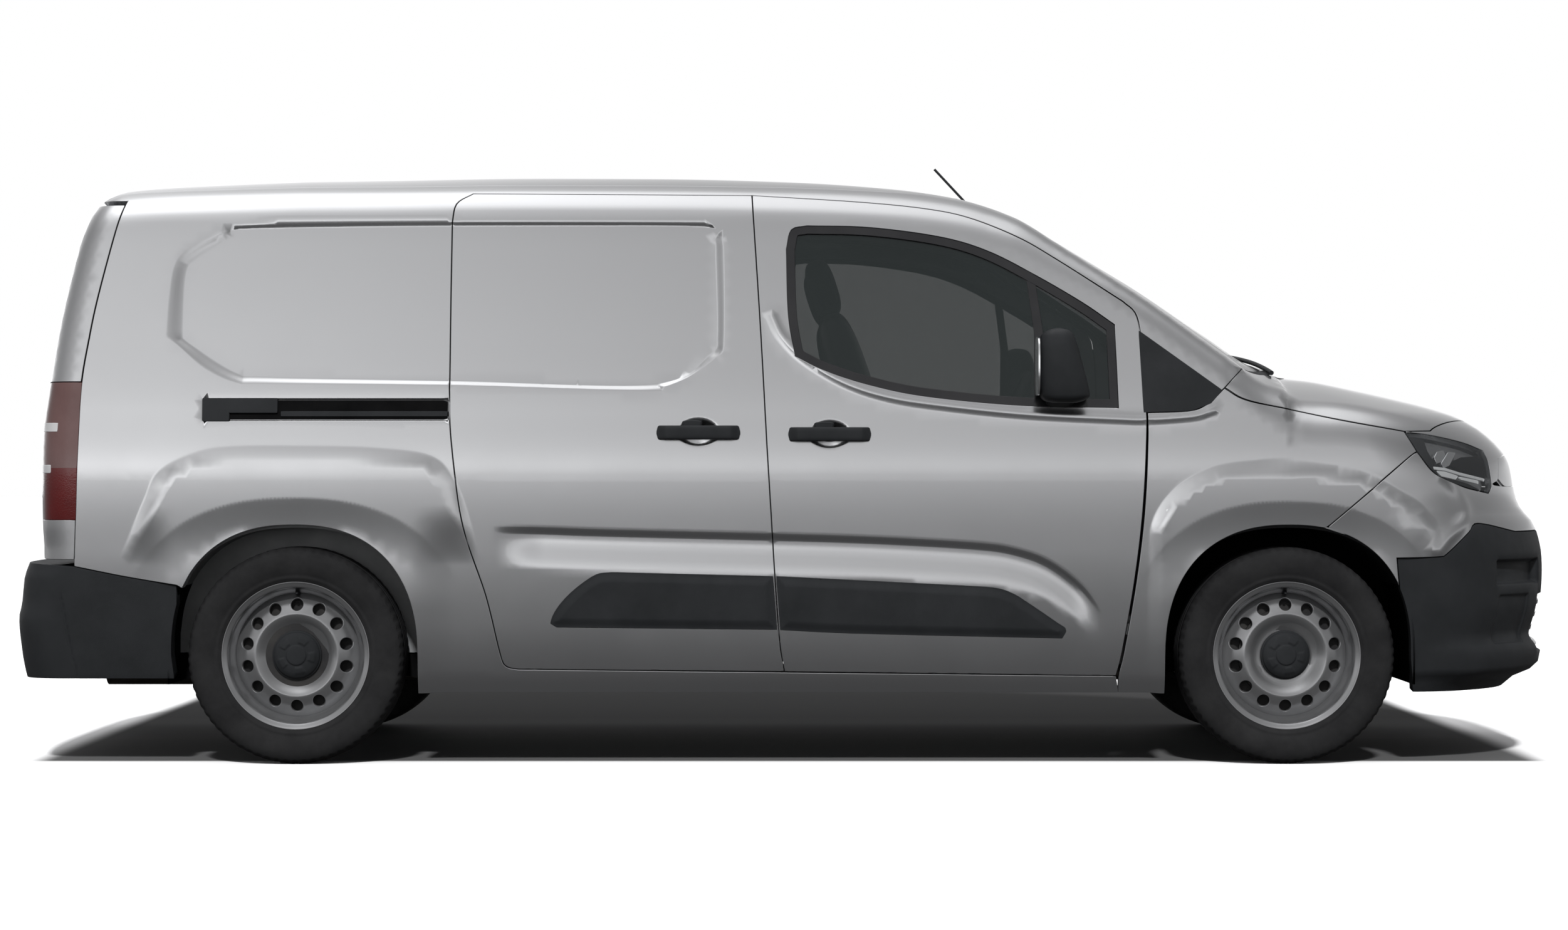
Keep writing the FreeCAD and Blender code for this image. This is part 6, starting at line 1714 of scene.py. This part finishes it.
def tail_trim():
    bands = ((0.998, 1.024, 0.62), (0.874, 0.898, 0.5))
    clear = together(sheet(tail_band(*band), tail_rays, 0.01, 0.004, 0.0012) for band in bands)
    make_pair("tail_clear_bands", clear, CLEAR)
    bar = sheet(tail_box(-0.02, 0.46, 1.000, 1.045), tail_rays, 0.02, 0.03, 0.012, 0.006)
    make("rear_handle_bar", bar, TRIM, "back_door_left")
    stop = sheet(tail_box(-0.12, 0.12, 1.7105, 1.7225), tail_rays, 0.01, 0.008, 0.002)
    make("high_brake_lamp", stop, RED, "root")


tail_trim()


def arch_liners():
    """Dark lining inside the rear arches and the front wings; its near-black is partly the liners' own black
    and partly painted shade in the arches.
    """
    shell = Shell()
    for axle, near, far in ((REAR, -0.885, -0.668), (FRONT, -0.885, -0.485)):
        line = arch_line(axle, 0, 180, 0.378, 0.402)
        line = np.concatenate([[(axle + 0.378, 0.24)], line, [(axle - 0.378, 0.24)]])
        rings = np.array([columns(line[:, 0], y, line[:, 1]) for y in np.linspace(near, far, 7)])
        run = np.gradient(rings[0], axis=0)
        ups = unit(columns(run[:, 2], 0, -run[:, 0]))
        if np.dot(ups[30], np.array([axle, 0, WHEEL_RADIUS]) - rings[0][30]) < 0:
            ups = -ups
        spots, ups = rings.reshape(-1, 3), np.tile(ups, (len(rings), 1))
        quads = quads_of(len(rings), len(line))
        for sign, shift in ((1, 0.0), (-1, 0.003)):
            moved = spots - ups * shift
            shell.add(moved, ups * sign, facing(moved, ups * sign, quads))
        middle = np.array([axle, far, WHEEL_RADIUS])
        wall = np.concatenate([rings[-1], middle + (rings[-1] - middle) * 0.62])
        quads = quads_of(2, len(line))
        for sign in (-1.0, 1.0):
            aside = np.tile([0.0, sign, 0.0], (len(wall), 1))
            placed = wall + aside * 0.001
            shell.add(placed, aside, facing(placed, aside, quads))
    # The liners' near-black is partly painted shade inside the arches
    make_pair("arch_liners", shell, BLACK_AND_PAINTED_SHADE)


arch_liners()


# Seats: crowned padded forms with flutes, on a dark plinth
def padded_form(middle, half, lean=0.0, power=3.4, count=26, flutes=0.0):
    """A rounded block whose faces crown outwards, with soft flutes on its main faces."""
    marks = np.tan(np.linspace(-np.pi / 4, np.pi / 4, count))
    u, v = [a.ravel() for a in np.meshgrid(marks, marks, indexing="ij")]
    c, s = math.cos(lean), math.sin(lean)
    turn = np.array([[c, 0, -s], [0, 1, 0], [s, 0, c]])
    index = np.arange(count * count).reshape(count, count)
    quads = np.stack([index[:-1, :-1], index[1:, :-1], index[1:, 1:], index[:-1, 1:]], 2).reshape(-1, 4)
    thin = int(np.argmin(half))
    shell = Shell()
    for axis in range(3):
        for sign in (-1.0, 1.0):
            cube = np.insert(columns(u, v), axis, sign, axis=1)
            ball = cube / (np.abs(cube) ** power).sum(1)[:, None] ** (1 / power)
            normals = unit(np.sign(ball) * np.abs(ball) ** (power - 1) / half)
            dip = flutes * crest(np.sin(ball[:, 1] * 7.2), 0.28) * rise(0.86 - np.abs(ball[:, 1]), 0.2)
            dip = dip * np.abs(normals[:, thin]) ** 4
            spots = middle + (ball * half - normals * dip[:, None]) @ turn.T
            normals = normals @ turn.T
            shell.add(spots, normals, facing(spots, normals, quads))
    return shell


LEAN = math.radians(18)
BACK_FOOT = (0.25, 0.7503)
SEAT_SIDES = (-0.35, 0.35)
FLUTES = 0.007


def on_back(y, out, up):
    """A place in front of and above the foot of a seat's back, along its lean."""
    return np.array([BACK_FOOT[0] + math.cos(LEAN) * out - math.sin(LEAN) * up, y,
                     BACK_FOOT[1] + math.sin(LEAN) * out + math.cos(LEAN) * up])


def seats():
    forms = {"cushion": [], "back": [], "head": [], "plinth": [], "post": []}
    for y in SEAT_SIDES:
        forms["cushion"].append(padded_form((0.512, y, 0.764), (0.256, 0.245, 0.072), flutes=FLUTES))
        back = padded_form(on_back(y, 0.065, 0.318), (0.063, 0.245, 0.314), LEAN, flutes=FLUTES)
        forms["back"].append(back)
        forms["head"].append(padded_form(on_back(y, 0.071, 0.7125), (0.044, 0.132, 0.093), LEAN, 3.0, 18))
        forms["plinth"].append(padded_form((0.51, y, 0.57), (0.207, 0.174, 0.149), 0.0, 9.0, 14))
        for side in (-0.05, 0.05):
            post = padded_form(on_back(y + side, 0.068, 0.630), (0.006, 0.006, 0.03), LEAN, 2.4, 8)
            forms["post"].append(post)
    forms = {name: together(shells) for name, shells in forms.items()}
    cushion = make("seat_cushions", forms["cushion"], CLOTH, "root", ["seats"])
    back = make("seat_backs", forms["back"], CLOTH, "root")
    head = make("seat_heads", forms["head"], CLOTH, "root")
    make("seat_plinths", forms["plinth"], CABIN, "root")
    make("head_rest_posts", forms["post"], STEEL, "root")


seats()


# Materials of the solids that stay as they are
FINISHES = {"floor_paint": INNER_PAINT, "cast": CHASSIS, "engine_metal": ENGINE, "steel": STEEL,
            "paint": PAINT, "dark_plastic": TRIM, "cab_plastic": CABIN, "glass": GLASS, "tyre": TYRE,
            "wheel_paint": WHEEL, "cloth": CLOTH, "head_lens": LENS, "tail_lens": RED}


def dress_solids():
    slots = {item["node"]: item["material_slot"] for item in frame["record"]["subparts"]}
    for name, thing in frame["nodes"].items():
        for place in thing.material_slots:
            place.material = FINISHES[slots[name]]


dress_solids()


SKY_TOP = 1.25
SKY_STOPS = [(0.0, 0.84), (0.08, 0.80), (0.12, 0.62), (0.17, 0.50), (0.24, 0.46), (0.34, 0.42), (0.60, 0.36),
             (0.80, 0.48), (0.93, 0.95), (1.0, 1.0)]
# The floor as the paint mirrors it: a dark copy of the white floor, with painted shade deepest near the van
MIRRORED_FLOOR_SHADE_STOPS = [(0.0, 0.05), (0.12, 0.06), (0.25, 0.07), (0.50, 0.09), (0.75, 0.11), (1.0, 0.15)]
SIDE_STOPS = [(0.0, 0.28), (0.25, 0.52), (0.38, 0.88), (0.44, 0.74), (0.485, 0.53), (0.525, 0.50),
              (0.56, 0.48), (0.62, 0.44), (0.72, 0.34), (1.0, 0.20)]
# Colour of the shadow painted on the floor under the van, by distance back from its near side
PAINTED_SHADOW_STOPS = [(0.0, 0.10), (0.25, 0.085), (0.37, 0.04), (0.50, 0.022), (0.75, 0.03), (1.0, 0.04)]
FLOOR_SIZE = 90
# Ends of the shadow painted on the floor under the van: axis, place and signed softness of each
PAINTED_SHADOW_ENDS = [(0, -2.34, 0.10), (0, 2.32, -0.10), (1, -0.78, 0.06), (1, 2.85, -0.06)]


def painted_shadow_mask(made, place):
    """One in the shadow painted on the floor under the van and zero outside it."""
    mask = 1.0
    for axis, end, soft in PAINTED_SHADOW_ENDS:
        step = made.node("ShaderNodeMapRange", interpolation_type="SMOOTHSTEP")
        made.link(place.outputs[axis], step.inputs["Value"])
        step.inputs["From Min"].default_value = end
        step.inputs["From Max"].default_value = end + soft
        mask = shade_math(made.tree, "MULTIPLY", step.outputs["Result"], mask)
    return mask


def floor_finish():
    """White floor with a shadow painted under the van for the camera, and a dark copy with painted shade,
    deepest near the van, for what mirrors it.
    """
    made = Finish("pale_floor", Roughness=0.9, Specular_IOR_Level=0.1)
    apart = made.node("ShaderNodeVectorMath", operation="LENGTH")
    made.link(made.place, apart.inputs[0])
    away = shade_math(made.tree, "DIVIDE", apart.outputs["Value"], 20.0, True)
    place = made.node("ShaderNodeSeparateXYZ")
    made.link(made.place, place.inputs[0])
    # For the camera: white floor with the painted shadow mixed in under the van
    white = made.node("ShaderNodeMix", data_type="RGBA")
    made.link(painted_shadow_mask(made, place), white.inputs["Factor"])
    white.inputs["A"].default_value = (0.93, 0.93, 0.935, 1)
    behind = shade_math(made.tree, "ADD", place.outputs[1], 0.8)
    behind = shade_math(made.tree, "DIVIDE", behind, 4.0, True)
    made.link(shade_ramp(made.tree, behind, PAINTED_SHADOW_STOPS), white.inputs["B"])
    # Rays other than the camera's see the dark copy of the floor with its painted shade
    seen = made.node("ShaderNodeMix", data_type="RGBA")
    made.link(made.node("ShaderNodeLightPath").outputs["Is Camera Ray"], seen.inputs["Factor"])
    made.link(shade_ramp(made.tree, away, MIRRORED_FLOOR_SHADE_STOPS), seen.inputs["A"])
    made.link(white.outputs["Result"], seen.inputs["B"])
    made.link(seen.outputs["Result"], made.shader.inputs["Base Color"])
    return made.material


def studio_floor():
    corners = [(x * FLOOR_SIZE, y * FLOOR_SIZE, 0) for x, y in ((-1, -1), (1, -1), (1, 1), (-1, 1))]
    mesh = bpy.data.meshes.new("floor")
    mesh.from_pydata(corners, [], [(0, 1, 2, 3)])
    mesh.materials.append(floor_finish())
    floor = bpy.data.objects.new("floor", mesh)
    bpy.context.scene.collection.objects.link(floor)


def studio_sky():
    """White for the camera; what the paint mirrors is a soft sky that is greyest level with the van."""
    world = bpy.data.worlds.new("studio")
    bpy.context.scene.world = world
    world.use_nodes = True
    tree = world.node_tree
    sky = tree.nodes["Background"]
    split = tree.nodes.new("ShaderNodeSeparateXYZ")
    tree.links.new(tree.nodes.new("ShaderNodeTexCoord").outputs["Generated"], split.inputs[0])
    up = shade_math(tree, "MAXIMUM", split.outputs["Z"], 0.0)
    aside = shade_math(tree, "ADD", shade_math(tree, "MULTIPLY", split.outputs["X"], 0.5), 0.5)
    gain = shade_math(tree, "MULTIPLY", shade_ramp(tree, aside, SIDE_STOPS), 2.0 * SKY_TOP)
    tree.links.new(shade_ramp(tree, up, SKY_STOPS), sky.inputs["Color"])
    tree.links.new(gain, sky.inputs["Strength"])
    white = tree.nodes.new("ShaderNodeBackground")
    white.inputs["Color"].default_value = (1, 1, 1, 1)
    mix = tree.nodes.new("ShaderNodeMixShader")
    tree.links.new(tree.nodes.new("ShaderNodeLightPath").outputs["Is Camera Ray"], mix.inputs["Fac"])
    tree.links.new(sky.outputs[0], mix.inputs[1])
    tree.links.new(white.outputs[0], mix.inputs[2])
    tree.links.new(mix.outputs[0], tree.nodes["World Output"].inputs["Surface"])


def sun():
    light = bpy.data.lights.new("sun", "SUN")
    light.energy = 4.2
    light.angle = math.radians(4)
    lamp = bpy.data.objects.new("sun", light)
    lamp.rotation_euler = Vector((0.02, 1.0, -0.84)).to_track_quat("-Z", "Y").to_euler()
    lamp.visible_glossy = False
    bpy.context.scene.collection.objects.link(lamp)


def camera():
    lens = bpy.data.cameras.new("camera")
    lens.sensor_width = 36
    lens.lens = 84.6
    thing = bpy.data.objects.new("camera", lens)
    thing.location = (-0.025, -11.924, 0.898)
    thing.rotation_euler = (math.radians(90), 0, 0)
    bpy.context.scene.collection.objects.link(thing)
    bpy.context.scene.camera = thing
    bpy.context.scene.view_settings.view_transform = "Standard"


studio_floor()
studio_sky()
sun()
camera()
